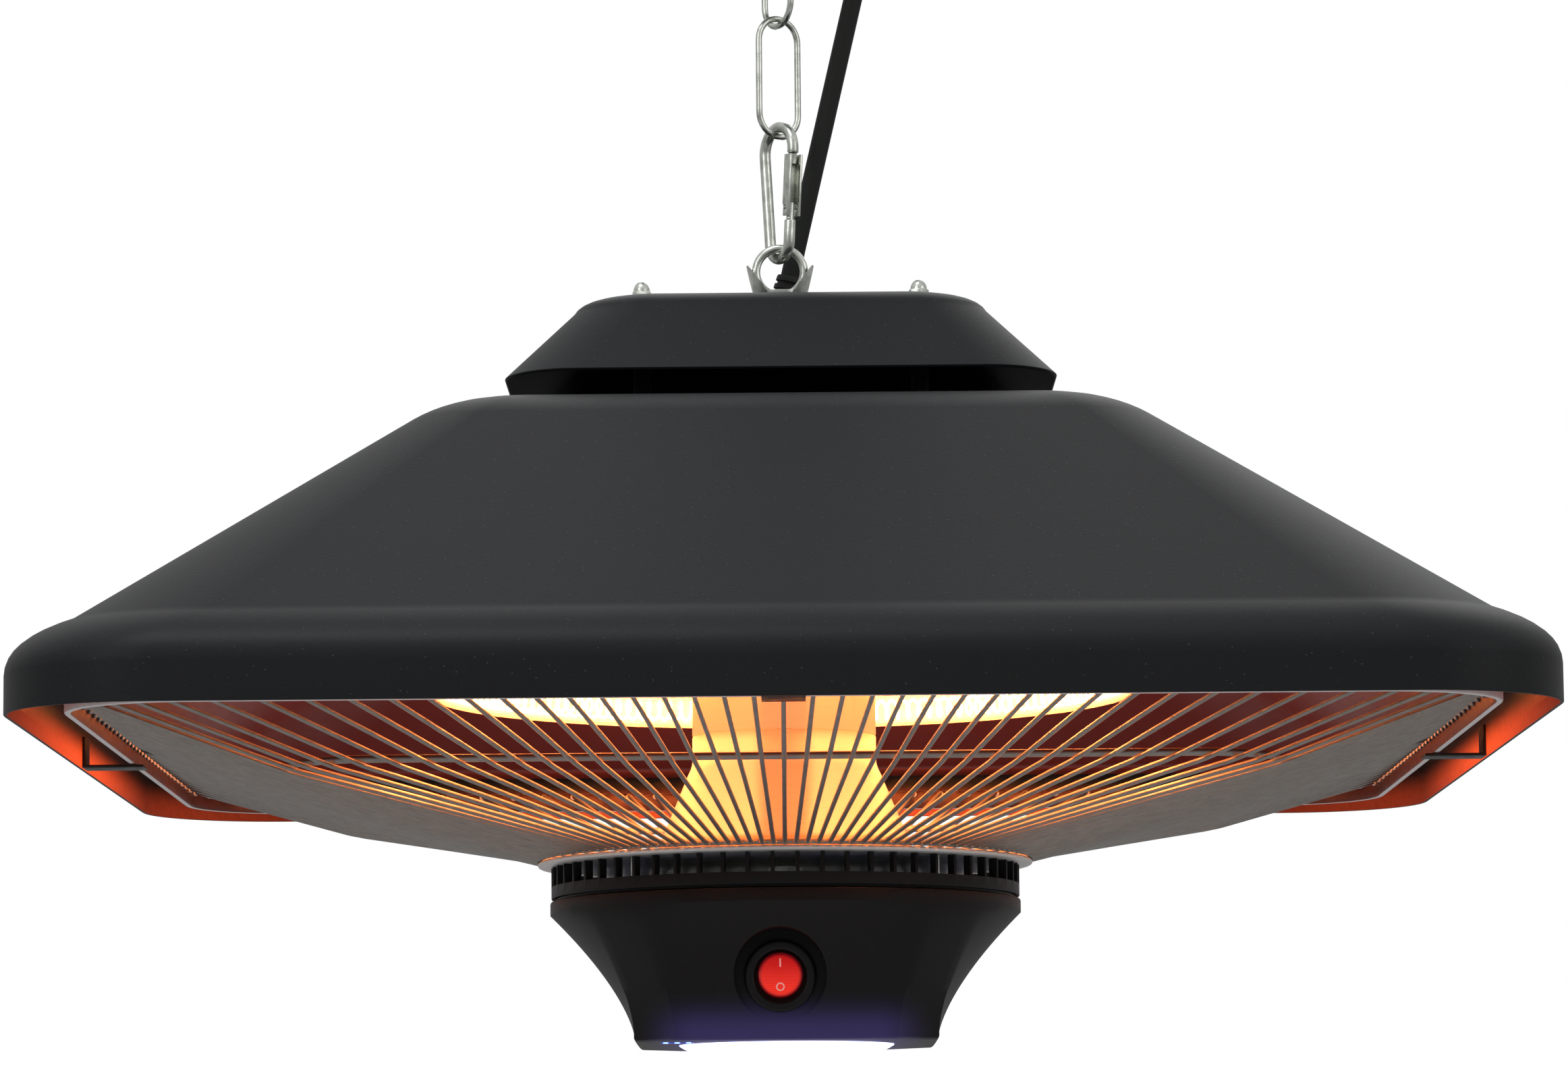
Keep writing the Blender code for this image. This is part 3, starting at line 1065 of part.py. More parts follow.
def build_housing():
    """Moulded housing: a flange, four concave faces, a round pocket for the switch and a hole for the lamp."""
    ease = 0.0015
    body_rows = [housing_loop(HOUSING_FOOT, ease), housing_loop(HOUSING_FOOT + ease, 0.0)]
    levels = 6
    for k in range(1, levels):
        share = (k / levels) ** 1.1
        height = HOUSING_FOOT + ease + (FLANGE_FOOT - HOUSING_FOOT - ease) * share
        body_rows.append(housing_loop(height, 0.0))
    body_rows.append(housing_loop(FLANGE_FOOT, 0.0))
    body_rows.append(housing_loop(HOUSING_TOP - 0.0006, 0.0))
    body_rows.append(housing_loop(HOUSING_TOP, 0.0006))
    housing = put_mesh("control_housing", loft(body_rows, capped=True), BLACK_PLASTIC, heater, smooth=30)

    floor = HOUSING_FOOT + HOUSING_WALL
    ledge = HOUSING_TOP - HOUSING_LEDGE
    roof = ledge - HOUSING_WALL
    cavity_rows = [housing_loop(floor, HOUSING_WALL + ease)]
    for k in range(1, 5):
        height = floor + (roof - floor) * k / 4
        cavity_rows.append(housing_loop(height, HOUSING_WALL))
    mouth = [ring_point(VENT_LEDGE_RADIUS, angle, ledge) for angle in housing_angles()]
    cavity_rows.append(mouth)
    cavity_rows.append([(x, y, HOUSING_TOP + 0.004) for x, y, z in mouth])
    cavity = cutter("housing_cavity", loft(cavity_rows, capped=True), heater)

    sideways = (math.pi / 2, 0.0, 0.0)
    centre = (SWITCH_X, 0.0, SWITCH_HEIGHT)
    pocket_wall = cutter("switch_pocket_wall", cylinder(POCKET_RADIUS + HOUSING_WALL,
                                                        -POCKET_FLOOR_Y - HOUSING_WALL, 0.12, 28),
                         heater, centre, sideways)
    boolean(cavity, pocket_wall)
    for k, (x, y) in enumerate(((POST_X, -POST_Y), (POST_X, POST_Y), (-POST_X, POST_Y), (-POST_X, -POST_Y))):
        post = cutter(f"board_post_{k + 1}", cylinder(POST_RADIUS, floor - 0.001, BOARD_HEIGHT - SEAT, 10), heater,
                      (x, y, 0.0))
        boolean(cavity, post)
    boolean(housing, cutter("switch_pocket", cylinder(POCKET_RADIUS, -POCKET_FLOOR_Y, 0.12, 28), heater,
                            centre, sideways))
    boolean(housing, cavity)
    boolean(housing, cutter("switch_hole", cylinder(BARREL_RADIUS + SLIP, -POCKET_FLOOR_Y - 0.008,
                                                    -POCKET_FLOOR_Y + 0.004, 20), heater, centre, sideways))
    boolean(housing, cutter("lamp_hole", cylinder(LENS_RADIUS + SLIP, HOUSING_FOOT - 0.01, HOUSING_FOOT + 0.01, 36),
                            heater))
    boolean(housing, cutter("window_hole", block((WINDOW_X - WINDOW_LENGTH / 2, WINDOW_Y - WINDOW_WIDTH / 2,
                                                  HOUSING_FOOT - 0.01),
                                                 (WINDOW_X + WINDOW_LENGTH / 2, WINDOW_Y + WINDOW_WIDTH / 2,
                                                  HOUSING_FOOT + 0.01)), heater))
    for k in range(4):
        boolean(housing, bpy.data.objects[f"housing_screw_hole_{k + 1}"])


def build_switch():
    """Round rocker switch: barrel with its bezel in the pocket, and the rocker on its pivot."""
    floor = -POCKET_FLOOR_Y
    sideways = (math.pi / 2, 0.0, 0.0)
    centre = (SWITCH_X, 0.0, SWITCH_HEIGHT)
    well = ROCKER_RADIUS + ROCKER_SLIP
    back = floor - BARREL_LENGTH
    face = floor + SEAT
    body = turned([(0.0, back), (BARREL_RADIUS, back), (BARREL_RADIUS, face), (BEZEL_RADIUS, face),
                   (BEZEL_RADIUS, face + BEZEL_THICK * 0.55), (BEZEL_RADIUS - 0.0011, face + BEZEL_THICK),
                   (well + 0.0009, face + BEZEL_THICK), (well, face + BEZEL_THICK - 0.0006),
                   (well, floor - ROCKER_THICK - 0.0030), (0.0, floor - ROCKER_THICK - 0.0030)], 28, closed=False)
    put_mesh("switch_body", body, BLACK_PLASTIC, heater, centre, sideways)
    pivot = empty("rocker_pivot", heater, (SWITCH_X, -face, SWITCH_HEIGHT))
    tilt = -ROCKER_SWING / 2
    disc = turned([(0.0, -ROCKER_THICK * 0.4), (ROCKER_RADIUS * 0.8, -ROCKER_THICK * 0.4),
                   (ROCKER_RADIUS, 0.0), (ROCKER_RADIUS, ROCKER_THICK * 0.6),
                   (ROCKER_RADIUS * 0.9, ROCKER_THICK * 0.75), (0.0, ROCKER_THICK * 0.75)], 24, closed=False)
    put_mesh("switch_rocker", disc, ROCKER_RED, pivot, (0, 0, 0), (math.pi / 2 + tilt, 0.0, 0.0))


def build_lamp():
    """Lamp lens in the housing's foot, the lamp board on it, and the indicator window beside it."""
    foot = HOUSING_FOOT
    seat = foot + HOUSING_WALL + SEAT
    rim_top = seat + LENS_RIM
    flange = LENS_RADIUS + LENS_FLANGE
    lens = turned([(0.0, foot - LENS_BULGE), (LENS_RADIUS * 0.5, foot - LENS_BULGE * 0.78),
                   (LENS_RADIUS * 0.82, foot - LENS_BULGE * 0.36), (LENS_RADIUS * 0.96, foot - LENS_BULGE * 0.06),
                   (LENS_RADIUS, foot + 0.0005), (LENS_RADIUS, seat), (flange, seat), (flange, rim_top),
                   (LENS_RADIUS - LENS_FLANGE, rim_top), (LENS_RADIUS - LENS_WALL - 0.001, foot + 0.0008),
                   (LENS_RADIUS * 0.6, foot - LENS_BULGE * 0.4), (0.0, foot - LENS_BULGE + LENS_WALL)],
                  32, closed=False)
    put_mesh("lamp_lens", lens, LAMP_WHITE, heater)
    board_foot = rim_top + SEAT
    board_top = board_foot + LAMP_BOARD_THICK
    board = cylinder(LENS_RADIUS + LAMP_BOARD_PROUD, board_foot, board_top, 32)
    put_mesh("lamp_board", board, BOARD_GREEN, heater)
    low = (WINDOW_X - WINDOW_LENGTH / 2 + SLIP, WINDOW_Y - WINDOW_WIDTH / 2 + SLIP, foot - 0.0004)
    high = (WINDOW_X + WINDOW_LENGTH / 2 - SLIP, WINDOW_Y + WINDOW_WIDTH / 2 - SLIP, foot + HOUSING_WALL)
    put_mesh("indicator_window", block(low, high), INDICATOR_BLUE, heater)


def build_boards():
    """Control board on the housing's four posts, with the transformer on it."""
    top = BOARD_HEIGHT + BOARD_THICK
    board = block((-BOARD_HALF, -BOARD_HALF, BOARD_HEIGHT), (BOARD_HALF, BOARD_HALF, top))
    put_mesh("control_board", board, BOARD_GREEN, heater)
    wide, deep, tall = TRANSFORMER_SIZE
    low = (TRANSFORMER_X - wide / 2, -deep / 2, top + SEAT)
    high = (TRANSFORMER_X + wide / 2, deep / 2, top + SEAT + tall)
    body = put_mesh("transformer", block(low, high), TRANSFORMER_BLUE, heater)
    ease = body.modifiers.new("edges", 'BEVEL')
    ease.width = 0.0012
    ease.segments = 1


def build_lead():
    """Gland in the cap and the mains lead that runs straight beside the chain to the ceiling."""
    foot = Vector((GLAND_X, GLAND_Y, CAP_TOP_HEIGHT))
    mouth = Vector((LEAD_HEAD_X, LEAD_HEAD_Y, CEILING_UNDER - SEAT - GROMMET_LENGTH - 0.001))
    heading = (mouth - Vector((0.0, 0.0, 0.010)) - foot).normalized()
    lean = tuple(Vector((0, 0, 1)).rotation_difference(heading).to_euler())
    gland = put_mesh("cable_gland", turned([(0.0, GLAND_BASE), (GLAND_FOOT_RADIUS, GLAND_BASE),
                                            (GLAND_FOOT_RADIUS, GLAND_BASE + 0.003),
                                            (GLAND_HEAD_RADIUS, GLAND_LENGTH), (0.0, GLAND_LENGTH)], 16,
                                           closed=False), BLACK_RUBBER, heater, tuple(foot), lean)
    collar = turned([(0.0, -GLAND_COLLAR_DEPTH), (GLAND_NECK_RADIUS, -GLAND_COLLAR_DEPTH), (GLAND_NECK_RADIUS, SEAT),
                     (GLAND_FOOT_RADIUS + GLAND_LIP, SEAT), (GLAND_FOOT_RADIUS + GLAND_LIP, GLAND_BASE + 0.0012),
                     (0.0, GLAND_BASE + 0.0012)], 16, closed=False)
    boolean(gland, cutter("gland_collar", collar, heater, tuple(foot)), 'UNION')
    boolean(gland, cutter("gland_bore", cylinder(LEAD_RADIUS + SEAT, -0.03, 0.03, 16), heater, tuple(foot), lean))
    tail = foot - heading * LEAD_TAIL
    bend_start = foot + heading * ((mouth - foot).length - 0.032)
    route = [tuple(tail.lerp(bend_start, share)) for share in (0.0, 0.2, 0.4, 0.6, 0.8, 1.0)]
    route.append(tuple(mouth - Vector((0.0008, -0.0002, 0.012))))
    route.append(tuple(mouth))
    points = smooth_route(route, 15)
    points.append((LEAD_HEAD_X, LEAD_HEAD_Y, CEILING_UNDER + PLATE_THICK - 2 * SEAT))
    cord("mains_lead", points, LEAD_RADIUS, BLACK_RUBBER, heater)


def main():
    """Build the whole heater."""
    build_ceiling()
    build_link("upper_chain_link", upper_pivot, UPPER_LINK_BAR - CEILING_BAR)
    build_link("lower_chain_link", lower_pivot, LOWER_LINK_BAR - UPPER_LINK_BAR)
    build_snap_hook()
    build_cap(build_eye())
    build_hood()
    build_chassis()
    build_reflector()
    build_column()
    build_heating_ring()
    build_guard()
    build_hub()
    build_housing()
    build_switch()
    build_lamp()
    build_boards()
    build_lead()


main()
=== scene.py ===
# %% [markdown]
# # A ceiling heater on a chain
# A square black hood hangs from a ceiling hook by two chain links and a snap hook. Under it a ring-shaped
# heating tube glows behind a dished wire guard, and a small housing below holds a lamp and a switch.
# The measured model comes first, as a fixed frame in metres: everything made here is fitted round it. Nothing
# of it is moved. A piece either gets a better finish or is stood for by a finer one in the same place.

# %% Load the measured frame
import math

import bmesh
import bpy
from mathutils import Matrix, Vector


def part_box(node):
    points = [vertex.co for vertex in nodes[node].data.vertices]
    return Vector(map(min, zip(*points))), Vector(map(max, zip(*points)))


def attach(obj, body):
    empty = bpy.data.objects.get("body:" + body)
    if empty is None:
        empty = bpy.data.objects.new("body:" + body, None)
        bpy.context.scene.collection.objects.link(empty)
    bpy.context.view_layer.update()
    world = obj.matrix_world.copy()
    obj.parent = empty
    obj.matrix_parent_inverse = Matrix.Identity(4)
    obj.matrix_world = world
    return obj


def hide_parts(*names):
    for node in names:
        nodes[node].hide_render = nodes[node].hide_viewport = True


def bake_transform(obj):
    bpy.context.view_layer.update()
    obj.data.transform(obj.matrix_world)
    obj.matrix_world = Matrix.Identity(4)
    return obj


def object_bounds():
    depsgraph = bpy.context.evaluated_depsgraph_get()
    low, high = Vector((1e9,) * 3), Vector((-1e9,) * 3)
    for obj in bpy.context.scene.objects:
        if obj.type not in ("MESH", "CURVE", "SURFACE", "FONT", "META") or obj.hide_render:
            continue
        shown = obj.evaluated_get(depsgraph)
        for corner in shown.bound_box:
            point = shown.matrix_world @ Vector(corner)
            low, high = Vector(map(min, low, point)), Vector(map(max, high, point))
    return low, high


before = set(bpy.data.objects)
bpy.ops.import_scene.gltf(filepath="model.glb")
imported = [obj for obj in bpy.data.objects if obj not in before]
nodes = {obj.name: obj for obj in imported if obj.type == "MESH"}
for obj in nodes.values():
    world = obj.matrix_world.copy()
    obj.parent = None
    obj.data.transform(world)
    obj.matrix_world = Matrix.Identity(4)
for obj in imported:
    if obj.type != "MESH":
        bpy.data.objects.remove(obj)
cad_box = [list(corner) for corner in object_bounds()]
RIM_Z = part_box("hood")[0].z
print("hood rim at", round(RIM_Z, 4), "and", len(nodes), "measured pieces")

# %% [markdown]
# ## The camera
# The picture was taken from two metres in front of the heater and a little below its rim, looking slightly up,
# so the guard and the glow show under the hood. A long lens keeps the far corners nearly as large as the near
# ones. The camera comes first, because every later choice of detail depends on what it shows. Its small roll
# repeats the slight slope of the hood's front edge.

# %% Set the camera
PITCH = math.radians(7.18)
ROLL = math.radians(-0.5)
camera_data = bpy.data.cameras.new("camera")
camera_data.sensor_width = 36.0
camera_data.lens = 132.6
camera = bpy.data.objects.new("camera", camera_data)
bpy.context.scene.collection.objects.link(camera)
camera.matrix_world = (Matrix.Translation((0.0006, -2.0447, RIM_Z - 0.1752))
                       @ Matrix.Rotation(math.pi / 2 + PITCH, 4, "X") @ Matrix.Rotation(ROLL, 4, "Z"))
bpy.context.scene.camera = camera

# %% [markdown]
# ## The room
# The heater hangs in a white studio. A plain pale floor lies well below it, and the world is white to the camera
# and through glass, but dimmer as a lamp, so that dark paint stays dark. In polished metal it shows dim below and
# bright above, which gives the chain its dark edges. Three broad soft lamps model the faces: a key from the front
# left, a weaker fill from the right and one from above and behind. A fourth, small and bluish, hangs over the left
# of the hood and draws a sheen on its shoulder.

# %% Build the room and its lamps
bpy.context.scene.view_settings.view_transform = "Standard"
FLOOR_DROP = 0.55
PALE = (0.8, 0.8, 0.8, 1.0)
DIFFUSE_LIGHT = (0.1, 0.36)
MIRRORED_LIGHT = (0.16, 0.8)


def graded(tree, value, low, high, dark, bright):
    """A number that grows evenly from dark to bright while a value goes from low to high."""
    level = tree.nodes.new("ShaderNodeMapRange")
    for socket, number in (("From Min", low), ("From Max", high), ("To Min", dark), ("To Max", bright)):
        level.inputs[socket].default_value = number
    tree.links.new(value, level.inputs["Value"])
    return level


def studio_light(tree):
    """How strongly the room shines: white to the camera and through glass, else dim below and brighter above."""
    direction = tree.nodes.new("ShaderNodeTexCoord")
    split = tree.nodes.new("ShaderNodeSeparateXYZ")
    tree.links.new(direction.outputs["Generated"], split.inputs[0])
    path = tree.nodes.new("ShaderNodeLightPath")
    diffuse = graded(tree, split.outputs["Z"], -0.6, 0.9, *DIFFUSE_LIGHT)
    mirrored = graded(tree, split.outputs["Z"], -0.5, 0.8, *MIRRORED_LIGHT)
    level = diffuse.outputs[0]
    for ray, shown in (("Is Glossy Ray", mirrored.outputs[0]), ("Is Camera Ray", None),
                       ("Is Transmission Ray", None)):
        chosen = graded(tree, path.outputs[ray], 0.0, 1.0, 0.0, 1.0)
        tree.links.new(level, chosen.inputs["To Min"])
        if shown:
            tree.links.new(shown, chosen.inputs["To Max"])
        level = chosen.outputs[0]
    return level


world = bpy.data.worlds.new("studio")
bpy.context.scene.world = world
world.use_nodes = True
sky = world.node_tree.nodes["Background"]
sky.inputs["Color"].default_value = (1.0, 1.0, 1.0, 1.0)
world.node_tree.links.new(studio_light(world.node_tree), sky.inputs["Strength"])

bpy.ops.object.select_all(action="DESELECT")
bpy.ops.mesh.primitive_plane_add(size=30.0, location=(0.0, 0.0, cad_box[0][2] - FLOOR_DROP))
floor = bpy.context.object
floor.name = "studio_floor"
floor_paint = bpy.data.materials.new("studio_floor")
floor_paint.use_nodes = True
floor_shader = floor_paint.node_tree.nodes["Principled BSDF"]
floor_shader.inputs["Base Color"].default_value = PALE
floor_shader.inputs["Roughness"].default_value = 0.9
floor_shader.inputs["Specular IOR Level"].default_value = 0.1
floor.data.materials.append(floor_paint)


def soft_lamp(name, place, target, size, watts, colour=(1.0, 1.0, 1.0)):
    """A square area lamp at a place, turned towards a target."""
    data = bpy.data.lights.new(name, "AREA")
    data.size = size
    data.energy = watts
    data.color = colour
    lamp = bpy.data.objects.new(name, data)
    bpy.context.scene.collection.objects.link(lamp)
    lamp.location = place
    lamp.rotation_euler = (Vector(target) - Vector(place)).to_track_quat("-Z", "Y").to_euler()
    return lamp


MIDDLE = (0.0, 0.0, RIM_Z)
soft_lamp("key_lamp", (-1.6, -2.2, 0.9), MIDDLE, 1.4, 12)
soft_lamp("fill_lamp", (2.2, -1.6, 0.5), MIDDLE, 1.4, 8)
soft_lamp("back_lamp", (0.3, 2.0, 1.3), MIDDLE, 1.6, 7)
soft_lamp("sheen_lamp", (-0.34, -0.62, 1.1), (-0.15, -0.25, RIM_Z), 0.35, 7, (0.88, 0.93, 1.0))

# %% [markdown]
# ## Shader arithmetic
# Every finish below is worked out from where a point lies on the heater. Node trees for that are long to wire by
# hand, so one small class wraps an output of the tree and lets it be added, multiplied and subtracted like a
# number, and a second one holds a material and adds any other node.

# %% Two classes for finishes
class Field:
    """One output of a material's nodes, which works in sums like a number."""

    def __init__(self, finish, socket):
        self.finish = finish
        self.socket = socket

    def over(self, low, high):
        """0 below low, 1 above high and a smooth slope between, clamped; low may be the larger."""
        return self.finish.node("ShaderNodeMapRange", {"interpolation_type": "SMOOTHSTEP"},
                                {"Value": self, "From Min": low, "From Max": high})


def in_sums(operation, flipped):
    """How a field works with a number or field on its right, or on its left when flipped."""
    return lambda field, other: field.finish.maths(operation, *((other, field) if flipped else (field, other)))


for sign, operation in (("add", "ADD"), ("sub", "SUBTRACT"), ("mul", "MULTIPLY"), ("truediv", "DIVIDE"),
                        ("pow", "POWER")):
    setattr(Field, f"__{sign}__", in_sums(operation, False))
    setattr(Field, f"__r{sign}__", in_sums(operation, True))


class Finish:
    """A material in the making: its Principled shader, and methods that add the other nodes."""

    def __init__(self, name, fixed):
        self.material = bpy.data.materials.new(name)
        self.material.use_nodes = True
        self.tree = self.material.node_tree
        self.shader = self.tree.nodes["Principled BSDF"]
        for socket, value in fixed.items():
            self.shader.inputs[socket].default_value = value
        place = self.tree.nodes.new("ShaderNodeTexCoord")
        self.place = Field(self, place.outputs["Object"])
        self.facing = Field(self, place.outputs["Normal"])

    def node(self, kind, settings=None, inputs=None, output=0):
        """Add a node: its settings, then the value or link of each socket, and return one of its outputs."""
        made = self.tree.nodes.new(kind)
        for setting, value in (settings or {}).items():
            setattr(made, setting, value)
        for socket, value in (inputs or {}).items():
            self.feed(made.inputs[socket], value)
        return Field(self, made.outputs[output])

    def feed(self, socket, value):
        """Link a field to a socket, or set its value."""
        if isinstance(value, Field):
            self.tree.links.new(value.socket, socket)
        else:
            socket.default_value = value

    def set(self, socket, value):
        """Drive one socket of the shader."""
        self.feed(self.shader.inputs[socket], value)

    def paint(self, share, first, second):
        """The surface's colour."""
        self.set("Base Color", self.mix(share, first, second))

    def shine(self, strength, share, first, second):
        """Light of its own, from one colour to another."""
        self.set("Emission Color", self.mix(share, first, second))
        self.shader.inputs["Emission Strength"].default_value = strength

    def relief(self, height, strength, distance):
        """Bump the surface by a height field; distance is the depth in metres."""
        self.set("Normal", self.node("ShaderNodeBump", None, {"Strength": strength, "Distance": distance,
                                                              "Height": height}))

    def maths(self, operation, *values):
        return self.node("ShaderNodeMath", {"operation": operation}, dict(enumerate(values)))

    def length(self, a, b):
        """How long the hypotenuse over two sides is."""
        return self.maths("SQRT", a * a + b * b)

    def axes(self, field):
        """The three numbers of a vector."""
        split = self.node("ShaderNodeSeparateXYZ", None, {0: field})
        return [Field(self, split.socket.node.outputs[k]) for k in range(3)]

    def noise(self, scale, detail=2.0, stretch=None):
        """Noise over the heater; a stretch scales each axis first, for a grain that runs one way."""
        place = self.place
        if stretch:
            place = self.node("ShaderNodeMapping", None, {"Vector": place, "Scale": stretch})
        return self.node("ShaderNodeTexNoise", None, {"Vector": place, "Scale": scale, "Detail": detail})

    def cells(self, scale, output="Distance"):
        return self.node("ShaderNodeTexVoronoi", None, {"Vector": self.place, "Scale": scale}, output)

    def mix(self, share, first, second):
        """From one colour to another; a plain colour is three numbers."""
        ends = [end if isinstance(end, Field) else (*end, 1.0) for end in (first, second)]
        return self.node("ShaderNodeMix", {"data_type": "RGBA"}, {0: share, 6: ends[0], 7: ends[1]}, 2)

    def painted_ring_light(self, reach, floor=0.0):
        """How strongly a point is lit by the heating ring, for painting that light as glow: less with distance,
        and only where it faces it.
        """
        x, y, z = self.axes(self.place)
        nx, ny, nz = self.axes(self.facing)
        radius = self.length(x, y)
        inwards = RING_RADIUS - radius
        rise = RING_Z - z
        distance = self.length(inwards, rise)
        along = (inwards * (nx * x + ny * y) / radius + rise * nz) / distance
        spread = distance / reach
        return self.maths("MAXIMUM", along + floor, 0.0) / (1.0 + spread * spread)


RING_RADIUS = 0.123
RING_Z = RIM_Z + 0.03
UNLIT = (0.0, 0.0, 0.0)
HOT_ORANGE = (1.0, 0.36, 0.1)


def grained(name, fixed, grain, colours, rough=None, bump=None):
    """A finish whose colour, gloss and relief all follow one grain, and that grain."""
    finish = Finish(name, fixed)
    grain = finish.noise(*grain)
    finish.paint(grain, *colours)
    if rough:
        finish.set("Roughness", rough[0] + rough[1] * grain)
    if bump:
        finish.relief(grain, *bump)
    return finish, grain


def wear(piece, finish):
    """Give a piece one finish all over."""
    piece.data.materials.clear()
    piece.data.materials.append(finish.material)


# %% [markdown]
# ## Powder coat
# The hood and the cap are pressed steel, sprayed with black powder that melts into a fine leathery skin. Close up
# it has a grain of about a millimetre, a finer one within it, and scattered bright specks. Noise at those two
# sizes gives the grain and moves the gloss, and the small middles of some cells give the specks. Inside, near
# the rim, the hood's coat has a painted glow of the ring's light, which fades upwards into painted shade.

# %% Make the powder coat
def make_powder_coat(name, painted_glow=0.0):
    finish = Finish(name, {"Specular IOR Level": 0.15})
    grain = finish.noise(1000.0, 3.0)
    fine = finish.noise(3600.0)
    cloud = finish.noise(14.0, 3.0)
    speck = finish.cells(520.0).over(0.16, 0.06)
    chosen = finish.axes(finish.cells(520.0, "Color"))[0].over(0.7, 0.85)
    colour = finish.mix(grain, (0.008, 0.0085, 0.0093), (0.015, 0.0158, 0.0172))
    colour = finish.mix(cloud * 0.35, colour, (0.018, 0.019, 0.0205))
    finish.paint(speck * chosen * 0.6, colour, (0.11, 0.11, 0.115))
    finish.set("Roughness", 0.4 + 0.16 * fine)
    finish.relief(grain * 0.7 + fine * 0.3, 0.3, 0.00025)
    if painted_glow:
        # painted glow of the ring's light inside the skirt, strongest at the rim and fading upwards into painted
        # shade
        z = finish.axes(finish.place)[2]
        inside = finish.painted_ring_light(0.085) ** 2.0 * z.over(RIM_Z + 0.013, RIM_Z + 0.002)
        mottled = inside * (0.75 + 0.5 * finish.noise(420.0))
        finish.shine(painted_glow, mottled * 5.5, UNLIT, (1.0, 0.09, 0.018))
    return finish


hood_coat = make_powder_coat("hood_coat", 2.2)
cap_coat = make_powder_coat("cap_coat")

# %% [markdown]
# ## Bright zinc
# The chain, the snap hook, the eye and the nuts are steel with a bright zinc coat, faintly greenish, with soft
# clouds of duller metal and fine scratches from one part rubbing on the next.

# %% Make the zinc
zinc = Finish("zinc", {"Metallic": 1.0})
cloud = zinc.noise(260.0, 4.0)
scratch = zinc.noise(1.0, 2.0, (5200.0, 5200.0, 500.0))
zinc.paint(cloud.over(0.35, 0.75), (0.66, 0.68, 0.62), (0.42, 0.44, 0.4))
zinc.set("Roughness", 0.16 + 0.22 * cloud)
zinc.relief(scratch * 0.5 + cloud * 0.5, 0.15, 0.0002)

# %% [markdown]
# ## Galvanised sheet
# The ceiling plate, the chassis, the clips and the holders are cut from galvanised sheet. Its zinc sets in flat
# crystals a few millimetres wide, each of a slightly different grey, so each cell of a Voronoi pattern takes its
# own brightness. The holders carry a painted glow of the ring's light, and the guard's clips are painted dark as
# painted shade in the gap between skirt and frame, with a faint painted glow of the ring's light.

# %% Make the galvanised sheet
def make_galvanised(name, painted_glow=0.0, painted_shade_factor=1.0):
    finish = Finish(name, {"Metallic": 0.9})
    crystal = finish.axes(finish.cells(260.0, "Color"))[0]
    haze = finish.noise(900.0, 3.0)
    # a factor below one paints the sheet darker, as painted shade
    finish.paint(crystal, *[tuple(painted_shade_factor * part for part in grey) for grey in ((0.42, 0.43, 0.44),
                                                                             (0.6, 0.61, 0.62))])
    finish.set("Roughness", 0.34 + 0.18 * crystal + 0.06 * haze)
    finish.relief(haze, 0.1, 0.0002)
    # painted glow of the ring's light
    if painted_glow:
        finish.shine(painted_glow, finish.painted_ring_light(0.05), UNLIT, HOT_ORANGE)
    return finish


galvanised = make_galvanised("galvanised")
# the holders' sheet has a painted glow of the ring's light; the clips' sheet is painted dark as painted shade,
# with a faint painted glow
ring_lit_sheet = make_galvanised("ring_lit_galvanised", 1.0)
shaded_sheet = make_galvanised("shaded_galvanised", 0.1, 0.06)

# %% [markdown]
# ## Black plastic and rubber
# The housing and the vent ring are moulded in a tool with a spark-worn face, which leaves an even matt grain.
# At its foot the housing also has a painted glow of the lamp's violet light. The lead and its sleeves are softer
# and
# drier: extruded rubber with a faint grain.

# %% Make the plastic and the rubber
def make_plastic(name, colour, roughness, grain_scale=2600.0, painted_lamp_glow=False):
    finish = Finish(name, {"Specular IOR Level": 0.2})
    grain = finish.noise(grain_scale)
    cloud = finish.noise(30.0)
    finish.paint(0.6 * grain + 0.3 * cloud, colour, tuple(1.7 * part for part in colour))
    finish.set("Roughness", roughness + 0.12 * grain)
    finish.relief(grain, 0.22, 0.00012)
    if painted_lamp_glow:
        # painted glow of the lamp's violet light on the housing's foot, near the lens
        x, y, z = finish.axes(finish.place)
        near = z.over(RIM_Z - 0.08, RIM_Z - 0.0975) ** 2.0 * finish.maths("ABSOLUTE", x).over(0.052, 0.03)
        finish.shine(1.0, near, UNLIT, (0.026, 0.019, 0.08))
    return finish


black_plastic = make_plastic("black_plastic", (0.005, 0.005, 0.0052), 0.4)
housing_plastic = make_plastic("housing_plastic", (0.0045, 0.0044, 0.0046), 0.4, painted_lamp_glow=True)
switch_plastic = make_plastic("switch_plastic", (0.007, 0.007, 0.0075), 0.3, 1800.0)
rubber = make_plastic("black_rubber", (0.016, 0.0175, 0.0155), 0.55, 1500.0)

# %% [markdown]
# ## Guard wire, frame and hub plate
# The guard is welded from drawn wire and flat band, and the hub plate is punched sheet, all bright when new. The
# wires carry a painted glow of the ring's light on the sides that face it and stay grey below, which is what makes
# the guard read as round wire from the front. The frame's inner face mirrors the dark dish, so it is painted
# darker there.

# %% Make the guard's steel
def make_guard_steel(name, metallic, bright, dark):
    return grained(name, {"Metallic": metallic}, (180.0, 3.0), (bright, dark), (0.28, 0.2))[0]


guard_steel = make_guard_steel("guard_steel", 0.75, (0.36, 0.345, 0.32), (0.23, 0.22, 0.2))
x, y, z = guard_steel.axes(guard_steel.place)
clear_of_foot = guard_steel.length(x, y).over(0.0895, 0.098)
# painted glow of the ring's light on the sides of the wires that face it
glow = guard_steel.painted_ring_light(0.085, 0.18).over(0.04, 0.6) * clear_of_foot
guard_steel.shine(2.0, glow, UNLIT, (1.0, 0.24, 0.055))

